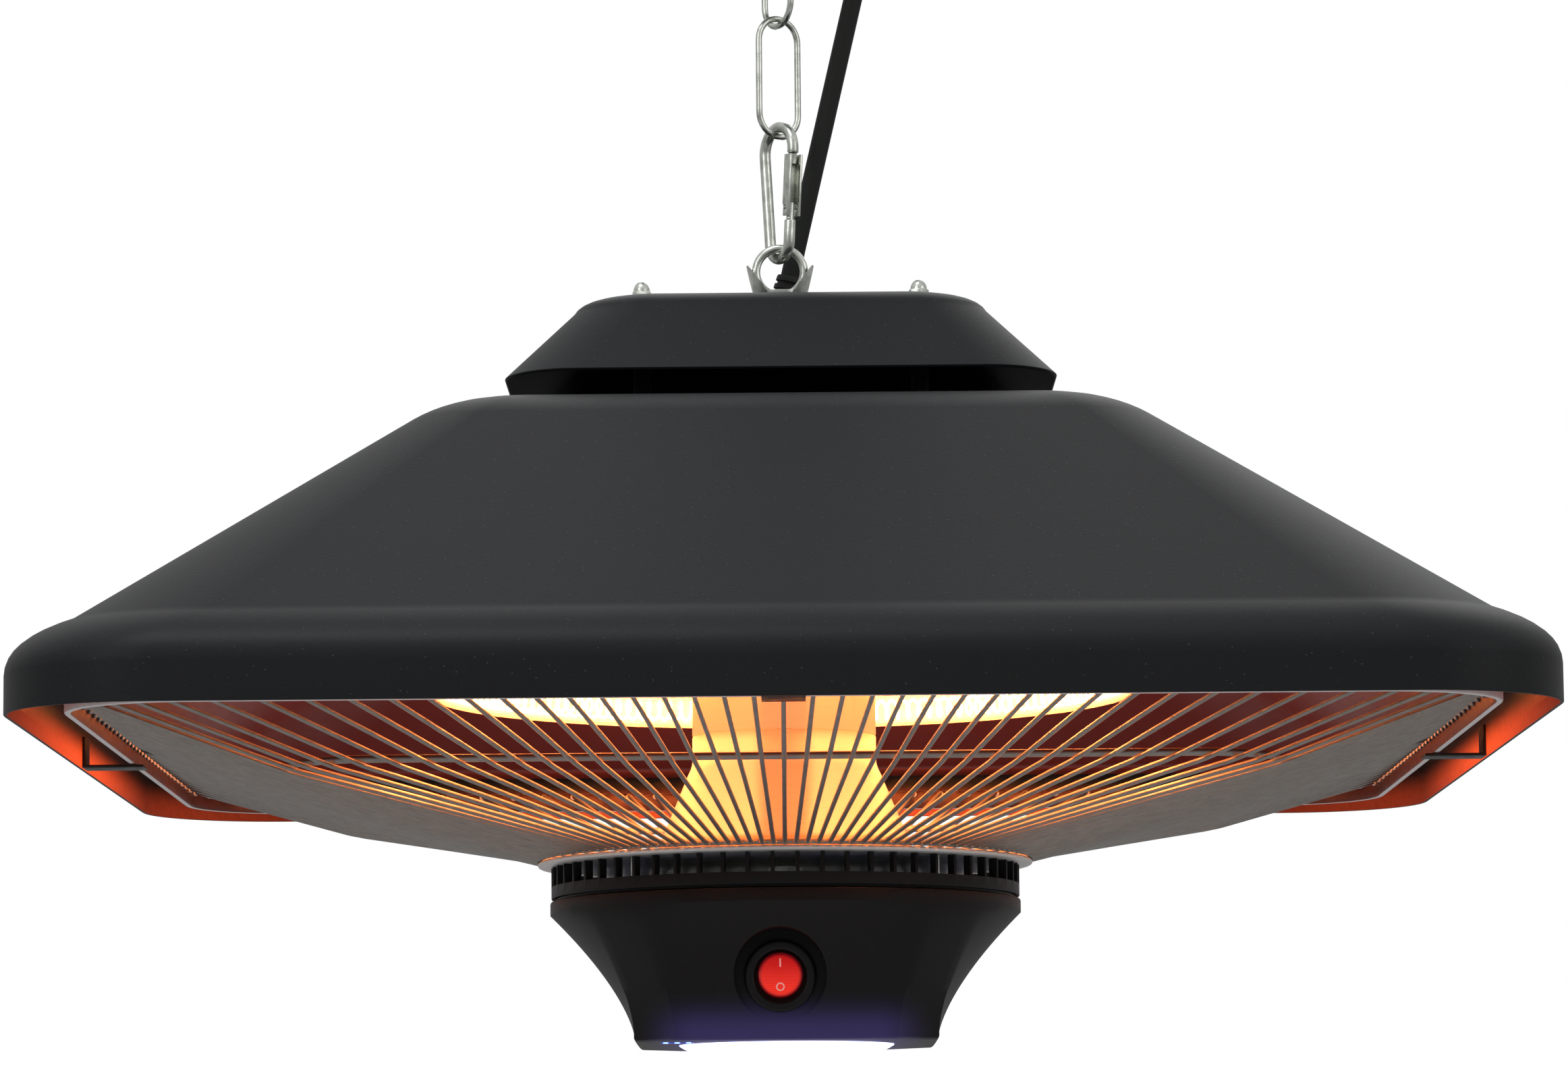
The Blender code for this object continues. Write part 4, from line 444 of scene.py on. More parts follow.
frame_steel = make_guard_steel("frame_steel", 0.3, (0.78, 0.77, 0.78), (0.62, 0.61, 0.62))
x, y, z = frame_steel.axes(frame_steel.place)
nx, ny, nz = frame_steel.axes(frame_steel.facing)
inwards = (0.0 - nx * x - ny * y) / frame_steel.length(x, y)
pale = Field(frame_steel, frame_steel.shader.inputs["Base Color"].links[0].from_socket)
frame_steel.paint(inwards.over(0.2, 0.6), pale, (0.1, 0.03, 0.02))

hub_steel = make_guard_steel("hub_steel", 0.3, (0.8, 0.79, 0.77), (0.64, 0.63, 0.61))

# %% [markdown]
# ## Reflector, column and cone
# The pan over the ring is coloured dark, with the red of the ring's light painted in between the wires, and a
# painted glow of the ring's light washes out from the tube. The polished column and its cone stand in the middle
# of the ring. They are coloured a warm gold and carry a painted glow of the ring's light from all round, except at
# the front, where the two cold ends of the tube leave a redder stripe of painted shade, and at the cone's foot,
# which little of it reaches and which is painted dark as painted shade.

# %% Make the metals with painted ring light
# dark, with the red of the ring's light painted in
reflector_metal, streak = grained("reflector_metal", {"Metallic": 0.8, "Specular IOR Level": 0.2},
                                  (1.0, 3.0, (60.0, 60.0, 900.0)),
                                  ((0.03, 0.005, 0.0035), (0.018, 0.0025, 0.002)), (0.24, 0.14))
# painted glow of the ring's light washing out from the tube
painted_ring_glow_colour = reflector_metal.mix(reflector_metal.painted_ring_light(0.06).over(0.05, 0.85), (0.04, 0.003, 0.0018),
                            (0.4, 0.022, 0.005))
reflector_metal.shine(1.4, reflector_metal.painted_ring_light(0.022).over(0.05, 0.55), painted_ring_glow_colour, (1.0, 0.22, 0.05))

column_metal, brushed = grained("column_metal", {"Metallic": 0.6}, (1.0, 2.0, (90.0, 90.0, 2400.0)),
                                ((0.62, 0.5, 0.32), (0.5, 0.38, 0.22)), (0.42, 0.1))
x, y, z = column_metal.axes(column_metal.place)
# redder painted shade at the front, where the tube's cold ends leave a gap in the ring
shadowed = column_metal.maths("ABSOLUTE", x).over(0.012, 0.006) * y.over(0.0, -0.01)
on_cone = z.over(RIM_Z + 0.01, RIM_Z + 0.006)
# painted glow of the ring's light, yellower on the cone than on the column
painted_glow = column_metal.mix(on_cone, (0.8, 0.26, 0.06), (1.0, 0.52, 0.16))
painted_glow = column_metal.mix(brushed * 0.2, painted_glow, (1.0, 0.62, 0.26))
painted_glow = column_metal.mix(shadowed * 0.9, painted_glow, (0.74, 0.115, 0.05))
# dark painted shade at the cone's foot
column_metal.shine(0.85, z.over(RIM_Z - 0.027, RIM_Z - 0.0295), painted_glow, (0.06, 0.006, 0.003))

# %% [markdown]
# ## Quartz, hot wire and ceramic
# The tube is clear quartz round a coil at more than a thousand degrees, far brighter than anything else here, so
# the wire shines and the tube shows only as a faint warm sheen, painted into the quartz as a warm colour and a
# glow of the coil's light. The tube's ends are pressed, unglazed ceramic, with a painted glow of the ring's light
# on them.

# %% Make the tube's materials
quartz, ripple = grained("quartz", {"Roughness": 0.06, "Specular IOR Level": 0.6}, (160.0,),
                         ((1.0, 0.62, 0.36), (1.0, 0.72, 0.46)))
quartz.set("Alpha", 0.24 + 0.1 * ripple)
# painted glow of the coil's light in the quartz
quartz.shine(2.4, ripple, (1.0, 0.3, 0.1), (1.0, 0.42, 0.18))

hot_wire, uneven = grained("hot_wire", {"Roughness": 0.5}, (70.0,), ((1.0, 0.7, 0.4), (1.0, 0.6, 0.28)))
hot_wire.shine(100.0, uneven, HOT_ORANGE, (1.0, 0.28, 0.07))

ceramic, pores = grained("ceramic", {"Specular IOR Level": 0.3}, (1100.0, 3.0),
                         ((0.72, 0.68, 0.6), (0.82, 0.79, 0.72)), (0.62, 0.15), (0.2, 0.0003))
# painted glow of the ring's light on the caps
ceramic.shine(0.8, ceramic.painted_ring_light(0.03, 0.2), UNLIT, HOT_ORANGE)

# %% [markdown]
# ## Lamp, switch light and boards
# The lamp's cover is frosted plastic over a board of small white light sources, so it is brightest over them and
# bluish towards its rim. The rocker is clear red plastic with a neon lamp behind it, brightest between its ribs
# and near its lower end. Three small blue lights sit beside the lamp. The boards inside are green lacquer over
# copper tracks, and the transformer is wound in blue tape.

# %% Make the lights and the boards
RIB_PITCH = 0.00064
SWITCH = (-0.002, RIM_Z - 0.0778)

lens_finish = Finish("lamp_lens", {"Roughness": 0.35, "Specular IOR Level": 0.4})
x, y, z = lens_finish.axes(lens_finish.place)
radius = lens_finish.length(x, y)
spots = lens_finish.cells(95.0).over(0.55, 0.15) * radius.over(0.034, 0.03)
lens_finish.paint(spots, (0.86, 0.87, 0.92), (0.95, 0.95, 0.97))
light = lens_finish.mix(spots, (0.8, 0.84, 1.0), (1.0, 1.0, 1.0))
lens_finish.shine(2.6, radius.over(0.033, 0.0378) * 0.75, light, (0.42, 0.42, 1.0))

rocker_finish = Finish("rocker_red", {"Roughness": 0.3, "Coat Weight": 0.1, "Specular IOR Level": 0.3})
x, y, z = rocker_finish.axes(rocker_finish.place)
dz = z - SWITCH[1]
centre = rocker_finish.length(x - SWITCH[0], dz).over(0.0076, 0.0062)
ribs = rocker_finish.maths("COSINE", dz * (2 * math.pi / RIB_PITCH)) * 0.5 + 0.5
rocker_finish.paint(centre, (0.1, 0.003, 0.005), (0.36, 0.008, 0.008))
low = rocker_finish.mix(dz.over(0.007, -0.006), (0.42, 0.006, 0.006), (0.8, 0.03, 0.014))
rocker_finish.shine(1.0, centre * (0.62 + 0.38 * ribs), (0.085, 0.001, 0.003), low)

MARK_LIGHT = {"Roughness": 0.4, "Emission Color": (0.42, 0.13, 0.11, 1.0), "Emission Strength": 1.0}
mark_finish = grained("rocker_mark", MARK_LIGHT, (1500.0,), ((0.7, 0.42, 0.4), (0.85, 0.56, 0.52)))[0]

window_finish = Finish("indicator_blue", {"Roughness": 0.2})
x, y, z = window_finish.axes(window_finish.place)
dot = window_finish.maths("SINE", (x + 0.032) * (math.pi / 0.004)) ** 2.0
window_finish.paint(dot, (0.02, 0.03, 0.12), (0.1, 0.16, 0.9))
window_finish.shine(3.0, dot.over(0.35, 0.9), (0.01, 0.015, 0.1), (0.2, 0.32, 1.0))

board_finish = Finish("board_green", {"Roughness": 0.35, "Coat Weight": 0.3})
tracks = board_finish.maths("SINE", board_finish.noise(60.0, 0.0) * 90.0).over(0.55, 0.8)
pads = board_finish.cells(330.0).over(0.22, 0.16)
green = board_finish.mix(tracks, (0.012, 0.105, 0.04), (0.03, 0.19, 0.075))
board_finish.paint(pads, green, (0.55, 0.56, 0.55))
board_finish.set("Metallic", pads * 0.9)

transformer_finish = grained("transformer_blue", {"Roughness": 0.4}, (800.0,),
                             ((0.02, 0.04, 0.15), (0.04, 0.07, 0.23)), bump=(0.1, 0.0002))[0]

# %% [markdown]
# ## Finishes for the measured pieces
# Pieces that are small, hidden or already exact keep their measured shape and only get their finish. They are
# listed by finish and by the name of their kind of material, so that it is easy to see that none is left plain.
# The finer pieces made below take their finish from the same list.

# %% Dress the measured pieces
def numbered(name, count=4):
    return [f"{name}_{k}" for k in range(1, count + 1)]


DRESS = [
    (zinc, "zinc", ["ceiling_hook", "upper_chain_link", "lower_chain_link", "snap_hook", "gate_pin", "hook_gate",
                    "lifting_eye", "eye_cup", "eye_nut", "tie_rod", "tie_rod_nut", *numbered("dome_nut"),
                    *numbered("cap_bolt"), *numbered("housing_screw")]),
    (galvanised, "galvanised", ["ceiling_plate", "chassis"]),
    (ring_lit_sheet, "galvanised", numbered("tube_holder", 3)),
    (shaded_sheet, "galvanised", numbered("guard_clip")),
    (cap_coat, "black_paint", ["top_cap", *numbered("cap_spacer")]),
    (hood_coat, "black_paint", ["hood"]),
    (rubber, "black_rubber", ["ceiling_grommet", "mains_lead", "cable_gland"]),
    (reflector_metal, "bright_aluminium", ["reflector"]),
    (column_metal, "bright_aluminium", ["centre_column", "column_cone"]),
    (quartz, "quartz", ["heating_tube"]),
    (hot_wire, "hot_wire", ["heating_coil"]),
    (ceramic, "ceramic", numbered("tube_end_cap", 2)),
    (guard_steel, "steel_wire", ["guard", "guard_middle_ring"]),
    (hub_steel, "pale_steel", ["hub_plate"]),
    (black_plastic, "black_plastic", ["vent_ring"]),
    (housing_plastic, "black_plastic", ["control_housing"]),
    (switch_plastic, "black_plastic", ["switch_body"]),
    (rocker_finish, "rocker_red", ["switch_rocker"]),
    (lens_finish, "lamp_white", ["lamp_lens"]),
    (window_finish, "indicator_blue", ["indicator_window"]),
    (board_finish, "board_green", ["control_board", "lamp_board"]),
    (transformer_finish, "transformer_blue", ["transformer"]),
]
DRESSED = {name: (finish, slot) for finish, slot, names in DRESS for name in names}
for name, (finish, slot) in DRESSED.items():
    wear(nodes[name], finish)
print("measured pieces left without a finish:", sorted(set(nodes) - set(DRESSED)))

# %% [markdown]
# ## Tools for modelling by hand
# Most of the heater is bent wire, turned metal and pressed sheet, and three small tools cover these. A bar is a
# line of edges, extruded point by point, turned into a curve with a round section and back into a mesh. A turned
# piece is half a section spun once round the axis. A skin is a stack of outlines, each bridged to the next, and a
# Solidify modifier gives it the thickness of the sheet.

# %% Tools: start, select and close a piece
def select_only(piece):
    """Make one piece the only one selected, and the active one."""
    bpy.ops.object.select_all(action="DESELECT")
    piece.select_set(True)
    bpy.context.view_layer.objects.active = piece


def primitive(name, add, **settings):
    """Start a piece from one of the plain shapes."""
    bpy.ops.object.select_all(action="DESELECT")
    add(**settings)
    piece = bpy.context.object
    piece.name = piece.data.name = name
    return piece


def open_mesh(piece):
    """Edit a piece, with all of it selected."""
    select_only(piece)
    bpy.ops.object.mode_set(mode="EDIT")
    bpy.ops.mesh.select_all(action="SELECT")


def close_mesh():
    bpy.ops.object.mode_set(mode="OBJECT")


def apply_modifier(piece, kind, **settings):
    """Add a modifier, set it and apply it."""
    modifier = piece.modifiers.new(kind.lower(), kind)
    for setting, value in settings.items():
        setattr(modifier, setting, value)
    select_only(piece)
    bpy.ops.object.modifier_apply(modifier=modifier.name)


def tidy_mesh(piece):
    """Merge doubled points, and turn all the faces outwards."""
    open_mesh(piece)
    bpy.ops.mesh.remove_doubles(threshold=0.000002)
    bpy.ops.mesh.normals_make_consistent(inside=False)
    close_mesh()


def smooth(piece, degrees=35):
    select_only(piece)
    bpy.ops.object.shade_smooth_by_angle(angle=math.radians(degrees))


def place(piece, matrix):
    """Put a finished piece in its place, in its mesh."""
    piece.data.transform(matrix)
    piece.data.update()


def moved(x=0.0, y=0.0, z=0.0):
    return Matrix.Translation((x, y, z))


def turned_by(degrees, axis="Z"):
    return Matrix.Rotation(math.radians(degrees), 4, axis)


def polar(radius, degrees, rise=0.0):
    """The spot at a distance and in a direction from the middle."""
    return (radius * math.cos(math.radians(degrees)), radius * math.sin(math.radians(degrees)), rise)


def line(name, points, closed=False):
    """A line of edges: one corner, extruded on from point to point."""
    piece = primitive(name, bpy.ops.mesh.primitive_plane_add, size=0.001)
    bpy.ops.object.mode_set(mode="EDIT")
    bpy.ops.mesh.merge(type="CENTER")
    bpy.ops.transform.translate(value=points[0])
    for here, there in zip(points, points[1:]):
        step = tuple(b - a for a, b in zip(here, there))
        bpy.ops.mesh.extrude_region_move(TRANSFORM_OT_translate={"value": step})
    if closed:
        net = bmesh.from_edit_mesh(piece.data)
        net.verts.ensure_lookup_table()
        bpy.ops.mesh.select_all(action="DESELECT")
        for end in (net.verts[0], net.verts[-1]):
            end.select = True
        bmesh.update_edit_mesh(piece.data)
        bpy.ops.mesh.edge_face_add()
    close_mesh()
    return piece


def round_off(piece, radius, closed=False, sides=16, radii=None):
    """Turn a line of edges into round bar; radii are shares of the radius, one a point."""
    select_only(piece)
    bpy.ops.object.convert(target="CURVE")
    curve = bpy.context.object.data
    curve.bevel_depth = radius
    curve.bevel_resolution = (sides - 4) // 2
    curve.use_fill_caps = not closed
    for spot, share in zip(curve.splines[0].points, radii or []):
        spot.radius = share
    bpy.ops.object.convert(target="MESH")
    piece = bpy.context.object
    tidy_mesh(piece)
    smooth(piece, 50)
    return piece


def bar(name, points, radius, closed=False, sides=16, radii=None):
    """A round bar along a line of points."""
    return round_off(line(name, points, closed), radius, closed, sides, radii)


def arc(centre, radius, start, stop, steps):
    """Points on an arc in the XZ plane, angles in degrees."""
    turn = [math.radians(start + (stop - start) * k / steps) for k in range(steps + 1)]
    return [(centre[0] + radius * math.cos(a), 0.0, centre[1] + radius * math.sin(a)) for a in turn]


def turned(name, section, steps=64, closed=True, base=0.0):
    """Half a section, as radii and heights over a base, spun once round the Z axis."""
    piece = line(name, [(radius, 0.0, base + rise) for radius, rise in section], closed)
    open_mesh(piece)
    bpy.ops.mesh.spin(steps=steps, angle=2 * math.pi, center=(0, 0, 0), axis=(0, 0, 1))
    close_mesh()
    tidy_mesh(piece)
    smooth(piece)
    return piece


def finer(points, steps=4):
    """More points on the smooth curve through a route."""
    knots = [Vector(point) for point in points]
    padded = [2 * knots[0] - knots[1], *knots, 2 * knots[-1] - knots[-2]]
    fine = []
    for p0, p1, p2, p3 in zip(padded, padded[1:], padded[2:], padded[3:]):
        for k in range(steps):
            t = k / steps
            fine.append(tuple(0.5 * (2 * p1 + (p2 - p0) * t + (2 * p0 - 5 * p1 + 4 * p2 - p3) * t * t
                                     + (3 * p1 - p0 - 3 * p2 + p3) * t * t * t)))
    return fine + [tuple(knots[-1])]


def bow(start, bend, stop, steps):
    """Points along a curve that leaves start towards bend and comes into stop from it."""
    shares = [k / steps for k in range(steps + 1)]
    return [tuple((1 - t) ** 2 * a + 2 * t * (1 - t) * b + t * t * c for a, b, c in zip(start, bend, stop))
            for t in shares]


def rounded_square(half, corner, rise, steps=12):
    """Points round a square with rounded corners, at a height above the hood's rim."""
    points = []
    for quarter in range(4):
        turn = Matrix.Rotation(quarter * math.pi / 2, 3, "Z")
        for k in range(steps + 1):
            a = math.radians(90) * k / steps
            spot = (half - corner + corner * math.cos(a), half - corner + corner * math.sin(a), RIM_Z + rise)
            points.append(tuple(turn @ Vector(spot)))
    return points


def select_points(piece, first, last):
    """In Edit mode, select a run of points and nothing else."""
    bpy.ops.mesh.select_all(action="DESELECT")
    net = bmesh.from_edit_mesh(piece.data)
    net.verts.ensure_lookup_table()
    for vert in net.verts[first:last]:
        vert.select = True
    net.select_flush_mode()
    bmesh.update_edit_mesh(piece.data)


def skin(name, outlines, filled=()):
    """A skin over a stack of outlines: each starts as a circle, is pulled to its shape and bridged to the last."""
    count = len(outlines[0])
    circle = {"vertices": count, "radius": 0.01}
    piece = primitive(name, bpy.ops.mesh.primitive_circle_add, **circle)
    bpy.ops.object.mode_set(mode="EDIT")
    for k, outline in enumerate(outlines):
        if k:
            bpy.ops.mesh.select_all(action="DESELECT")
            bpy.ops.mesh.primitive_circle_add(**circle)
        net = bmesh.from_edit_mesh(piece.data)
        net.verts.ensure_lookup_table()
        for vert, spot in zip(net.verts[k * count:(k + 1) * count], outline):
            vert.co = spot
        bmesh.update_edit_mesh(piece.data)
    for k in range(len(outlines) - 1):
        select_points(piece, k * count, (k + 2) * count)
        bpy.ops.mesh.bridge_edge_loops()
    for k in filled:
        select_points(piece, k * count, (k + 1) * count)
        bpy.ops.mesh.edge_face_add()
    close_mesh()
    tidy_mesh(piece)
    return piece


def ease(piece, width, angle=35):
    """Round a piece's sharp edges a little."""
    apply_modifier(piece, "BEVEL", width=width, segments=2, limit_method="ANGLE", angle_limit=math.radians(angle),
                   use_clamp_overlap=True)


def sheet(piece, thickness, edge=0.0003):
    """Give a skin the thickness of its sheet on the inside, with eased edges."""
    apply_modifier(piece, "SOLIDIFY", thickness=thickness, offset=-1.0, use_even_offset=True)
    ease(piece, edge, 50)


def even_shading(piece):
    """Shade smooth, with the broad faces keeping their own direction."""
    smooth(piece, 40)
    apply_modifier(piece, "WEIGHTED_NORMAL", keep_sharp=True)


def copy_of(name, piece):
    """A copy with a mesh of its own, set in place in that mesh."""
    twin = piece.copy()
    twin.data = piece.data.copy()
    twin.name = twin.data.name = name
    bpy.context.scene.collection.objects.link(twin)
    twin.parent = None
    twin.data.transform(piece.matrix_world)
    twin.matrix_world = Matrix.Identity(4)
    twin.hide_render = False
    return twin


def join(name, pieces):
    """Join pieces into one object."""
    bpy.ops.object.select_all(action="DESELECT")
    for piece in pieces:
        piece.select_set(True)
    bpy.context.view_layer.objects.active = pieces[0]
    bpy.ops.object.join()
    pieces[0].name = pieces[0].data.name = name
    return pieces[0]


def cut(piece, tool, operation="DIFFERENCE"):
    """Cut a piece with a tool, or join the two, and take the tool away."""
    apply_modifier(piece, "BOOLEAN", object=tool, operation=operation, solver="EXACT")
    bpy.data.objects.remove(tool)


def drill(piece, radius, centre, depth=0.01, turn=(0, 0, 0), vertices=32):
    """Cut a round hole."""
    cut(piece, primitive("drill", bpy.ops.mesh.primitive_cylinder_add, vertices=vertices, radius=radius,
                         depth=depth, location=centre, rotation=turn))


def stand_for(piece, node, body="heater", worn=False):
    """Put a piece in a measured one's stead: its finish, unless it wears one already, and its body."""
    finish, slot = DRESSED[node]
    if not worn:
        wear(piece, finish)
    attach(piece, body)
    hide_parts(node)
    print(piece.name, "has", len(piece.data.polygons), "faces")


def soften(node, width, angle=30, body="heater"):
    """Stand a copy for a measured piece, with merged points, cleaned faces and eased edges."""
    piece = copy_of(f"{node}_fine", nodes[node])
    open_mesh(piece)
    bpy.ops.mesh.remove_doubles(threshold=0.000005)
    bpy.ops.mesh.dissolve_limited(angle_limit=math.radians(0.5))
    close_mesh()
    ease(piece, width, angle)
    smooth(piece)
    stand_for(piece, node, body)


# %% [markdown]
# ## The hood
# The hood is one sheet of steel, 1.2 mm thick, pressed to a shallow square dome: an upright skirt, a rounded
# shoulder, four nearly flat slopes that meet in soft corners, and a flat top with a mouth for the warm air. A
# stack of rounded squares gives the corners that tighten upwards. Its broad faces have to shade flat, so they
# keep their own direction while the bends between them are smooth.

# %% Press the hood
STEEL = 0.0012
BOLT_OFF = 0.0485
BOLT_HOLE = 0.002
RIM_HALF, RIM_CORNER = 0.25, 0.051
SHOULDER_HALF, CORNER_SHRINKS = 0.2314, 0.2445
HOOD_TOP = 0.1176
shoulder = bow((RIM_HALF, 0.0127), (RIM_HALF, 0.0238), (SHOULDER_HALF, 0.0319), 8)
crown = bow((0.1258, 0.1088), (0.1205, 0.1126), (0.1142, 0.115), 4)
crown += bow((0.1142, 0.115), (0.109, 0.1171), (0.1035, HOOD_TOP), 3)[1:]
levels = [(RIM_HALF, RIM_CORNER, 0.0)] + [(half, RIM_CORNER, rise) for half, rise in shoulder]
levels += [(half, RIM_CORNER - (SHOULDER_HALF - half) * CORNER_SHRINKS, rise) for half, rise in crown]
levels.append((0.038, 0.0114, HOOD_TOP))
hood = skin("hood_shell", [rounded_square(*level, 14) for level in levels])
sheet(hood, STEEL)
for x in (-BOLT_OFF, BOLT_OFF):
    for y in (-BOLT_OFF, BOLT_OFF):
        drill(hood, BOLT_HOLE, (x, y, RIM_Z + HOOD_TOP))
even_shading(hood)
stand_for(hood, "hood")

# %% [markdown]
# ## The rain cap
# The cap covers the mouth and lets the warm air out at its sides. It is a smaller pressing with steeper slopes, a
# well rounded top edge and holes for the four bolts and the lifting eye. The lead's sleeve has its own hole
# beside the eye.

# %% Press the cap
CAP_TOP = 0.1586
SLEEVE_SPOT = (-0.001, 0.0185)
edge = bow((0.07134, 0.1526), (0.06895, 0.1571), (0.0578, CAP_TOP), 6)
levels = [(0.0948, 0.0275, 0.1272)]
levels += [(half, 0.023 - 0.006 * k / 6, rise) for k, (half, rise) in enumerate(edge)]
cap = skin("cap_shell", [rounded_square(*level) for level in levels], filled=[len(levels) - 1])
sheet(cap, STEEL)
holes = [(x, y, BOLT_HOLE) for y in (-BOLT_OFF, BOLT_OFF) for x in (-BOLT_OFF, BOLT_OFF)]
for x, y, radius in (*holes, (0.0, 0.0, 0.0033), (*SLEEVE_SPOT, 0.0059)):
    drill(cap, radius, (x, y, RIM_Z + CAP_TOP))
even_shading(cap)
stand_for(cap, "top_cap")

# %% [markdown]
# ## Dome nuts
# Four dome nuts close the cap's bolts: a hexagon with chamfered corners and a ball-shaped hood. One is built from
# a six-sided cylinder, cut and joined with turned pieces, and four copies of it are set on the cap, each screwed
# home at its own angle.

# %% Turn one dome nut and copy it
hexagon = primitive("dome_nut_hexagon", bpy.ops.mesh.primitive_cylinder_add, vertices=6,
                    radius=0.0064 / math.sqrt(3), depth=0.003)
place(hexagon, moved(z=0.0015))
chamfer = turned("dome_nut_chamfer", [(0.0, -0.001), (0.006, -0.001), (0.006, 0.0012), (0.0031, 0.00305),
                                      (0.0, 0.00305)], 48, closed=False)
cut(hexagon, chamfer, "INTERSECT")
drill(hexagon, 0.0019, (0.0, 0.0, 0.0), 0.005)
dome = turned("dome_nut_dome", [(0.0, 0.0024), (0.0029, 0.0024), (0.0029, 0.0034), (0.0027, 0.0044),
                                (0.0022, 0.0054), (0.0014, 0.0062), (0.0006, 0.00655), (0.0, 0.0066)], 32,
              closed=False)
cut(hexagon, dome, "UNION")
ease(hexagon, 0.00015)
smooth(hexagon, 30)
for k, (right, back) in enumerate([(1, -1), (1, 1), (-1, 1), (-1, -1)]):
    nut = copy_of(f"dome_nut_{k + 1}_fine", hexagon)
    place(nut, moved(right * BOLT_OFF, back * BOLT_OFF, RIM_Z + CAP_TOP + 0.0003) @ turned_by(11 + 37 * k))
    stand_for(nut, f"dome_nut_{k + 1}")
bpy.data.objects.remove(hexagon)

# %% [markdown]
# ## The ceiling fitting
# Above the picture a round plate is screwed to the ceiling, with a closed hook bent from 4 mm wire and a rubber
# grommet for the lead. The plate is turned and drilled, the hook is a bar along its bend.

# %% Make the ceiling fitting
LEAD_SPOT = (0.0366, 0.012, 0.0)
HANG_TURN, CROSS_TURN = 34, -56
plate = turned("ceiling_disc", [(0.0, -0.003), (0.0536, -0.003), (0.0545, -0.0028), (0.055, -0.002),
                                (0.055, 0.0), (0.0, 0.0)], 96, closed=False)
for degrees in (90, 210, 330):
    drill(plate, 0.0024, polar(0.044, degrees))
drill(plate, 0.0078, LEAD_SPOT)
smooth(plate, 30)
stand_for(plate, "ceiling_plate", "ceiling")

route = [(0.0, 0.0, rise) for rise in (-0.0033, -0.0066, -0.0102)] + arc((0.0, -0.0255), 0.0105, 55, -208, 14)
hook = bar("ceiling_hook_fine", finer(route, 3), 0.002, sides=20)
place(hook, turned_by(HANG_TURN))
stand_for(hook, "ceiling_hook", "ceiling")

grommet = turned("grommet_fine", [(0.0037, -0.0123), (0.0055, -0.0123), (0.0062, -0.0112), (0.0075, -0.0063),
                                  (0.009, -0.006), (0.0097, -0.0055), (0.0097, -0.0038), (0.0093, -0.0033),
                                  (0.0075, -0.0033), (0.0075, -0.0003), (0.0037, -0.0003)], 48)
place(grommet, moved(*LEAD_SPOT))
stand_for(grommet, "ceiling_grommet", "ceiling")

# %% [markdown]
# ## The chain
# Each link is a length of 2.3 mm wire bent to a long loop, with its ends butted and welded in one straight. The
# seam shows as a fine groove between two slight swellings, so the bar is a little thinner and thicker there.

# %% Bend the links
LINK_LENGTH, LINK_BEND = 0.0432, 0.00835
SEAM = [(0.002, 1.0), (0.001, 1.06), (0.00025, 1.05), (0.0, 0.93), (-0.00025, 1.05), (-0.001, 1.06),
        (-0.002, 1.0)]
for side, foot, turn in (("upper", -0.07575, CROSS_TURN), ("lower", -0.11635, HANG_TURN)):
    top, low = foot + LINK_LENGTH - LINK_BEND, foot + LINK_BEND
    route = arc((0.0, low), LINK_BEND, 180, 360, 16) + arc((0.0, top), LINK_BEND, 0, 180, 16)
    radii = [1.0] * len(route) + [share for _, share in SEAM]
    route += [(-LINK_BEND, 0.0, (low + top) / 2 + off) for off, _ in SEAM]
    link = bar(f"{side}_link_fine", route, 0.00115, closed=True, radii=radii)
    place(link, turned_by(turn))
    stand_for(link, f"{side}_chain_link", f"{side}_link")

# %% [markdown]
# ## The snap hook
# The hook is one 4 mm wire bent to a pear, with both ends drawn thin. A folded gate closes the gap between them
# and turns on a small rivet. The wire is a bar whose thickness shrinks at its ends, and the gate is the measured
# fold with its edges rounded.

# %% Bend the snap hook
HEEL_BEND, TOP_BEND, BENDS_APART = 0.006, 0.009, 0.033
lean = math.asin((TOP_BEND - HEEL_BEND) / BENDS_APART)
along = Vector((math.sin(lean), 0.0, math.cos(lean)))
heel = Vector((HEEL_BEND * math.cos(lean), 0.0, HEEL_BEND * (1 - math.sin(lean))))
nose = heel + along * 0.032
neck = heel + along * 0.0078
pin = heel + along * 0.0121
degrees = math.degrees(lean)
pear = arc((0.0, HEEL_BEND + BENDS_APART), TOP_BEND, -degrees, 180 + degrees, 24)
pear += arc((0.0, HEEL_BEND), HEEL_BEND, 180 + degrees, 360 - degrees, 20)
route = [nose + along * off for off in (-0.004, -0.0004, 0.0002)] + [Vector(spot) for spot in pear]
route += [neck - along * 0.0002, neck + along * 0.0004, pin + along * 0.0018]
radii = [0.7, 0.7, 1.0] + [1.0] * (len(pear) + 1) + [0.7, 0.7]
snap = bar("snap_hook_fine", [tuple(point) for point in route], 0.002, sides=20, radii=radii)
ease(snap, 0.00025, 40)
smooth(snap, 45)
place(snap, moved(z=-0.1609) @ turned_by(CROSS_TURN))
stand_for(snap, "snap_hook", "hook")
soften("hook_gate", 0.00018, 40, "gate")
soften("gate_pin", 0.00012, 40, "hook")

# %% [markdown]
# ## The lifting eye and its cup
# A ring of 3 mm wire is welded to a short shank that goes through the cap. It stands in a flared cup whose wall
# is cut away at the front and the back, which leaves two pointed ears beside the ring.

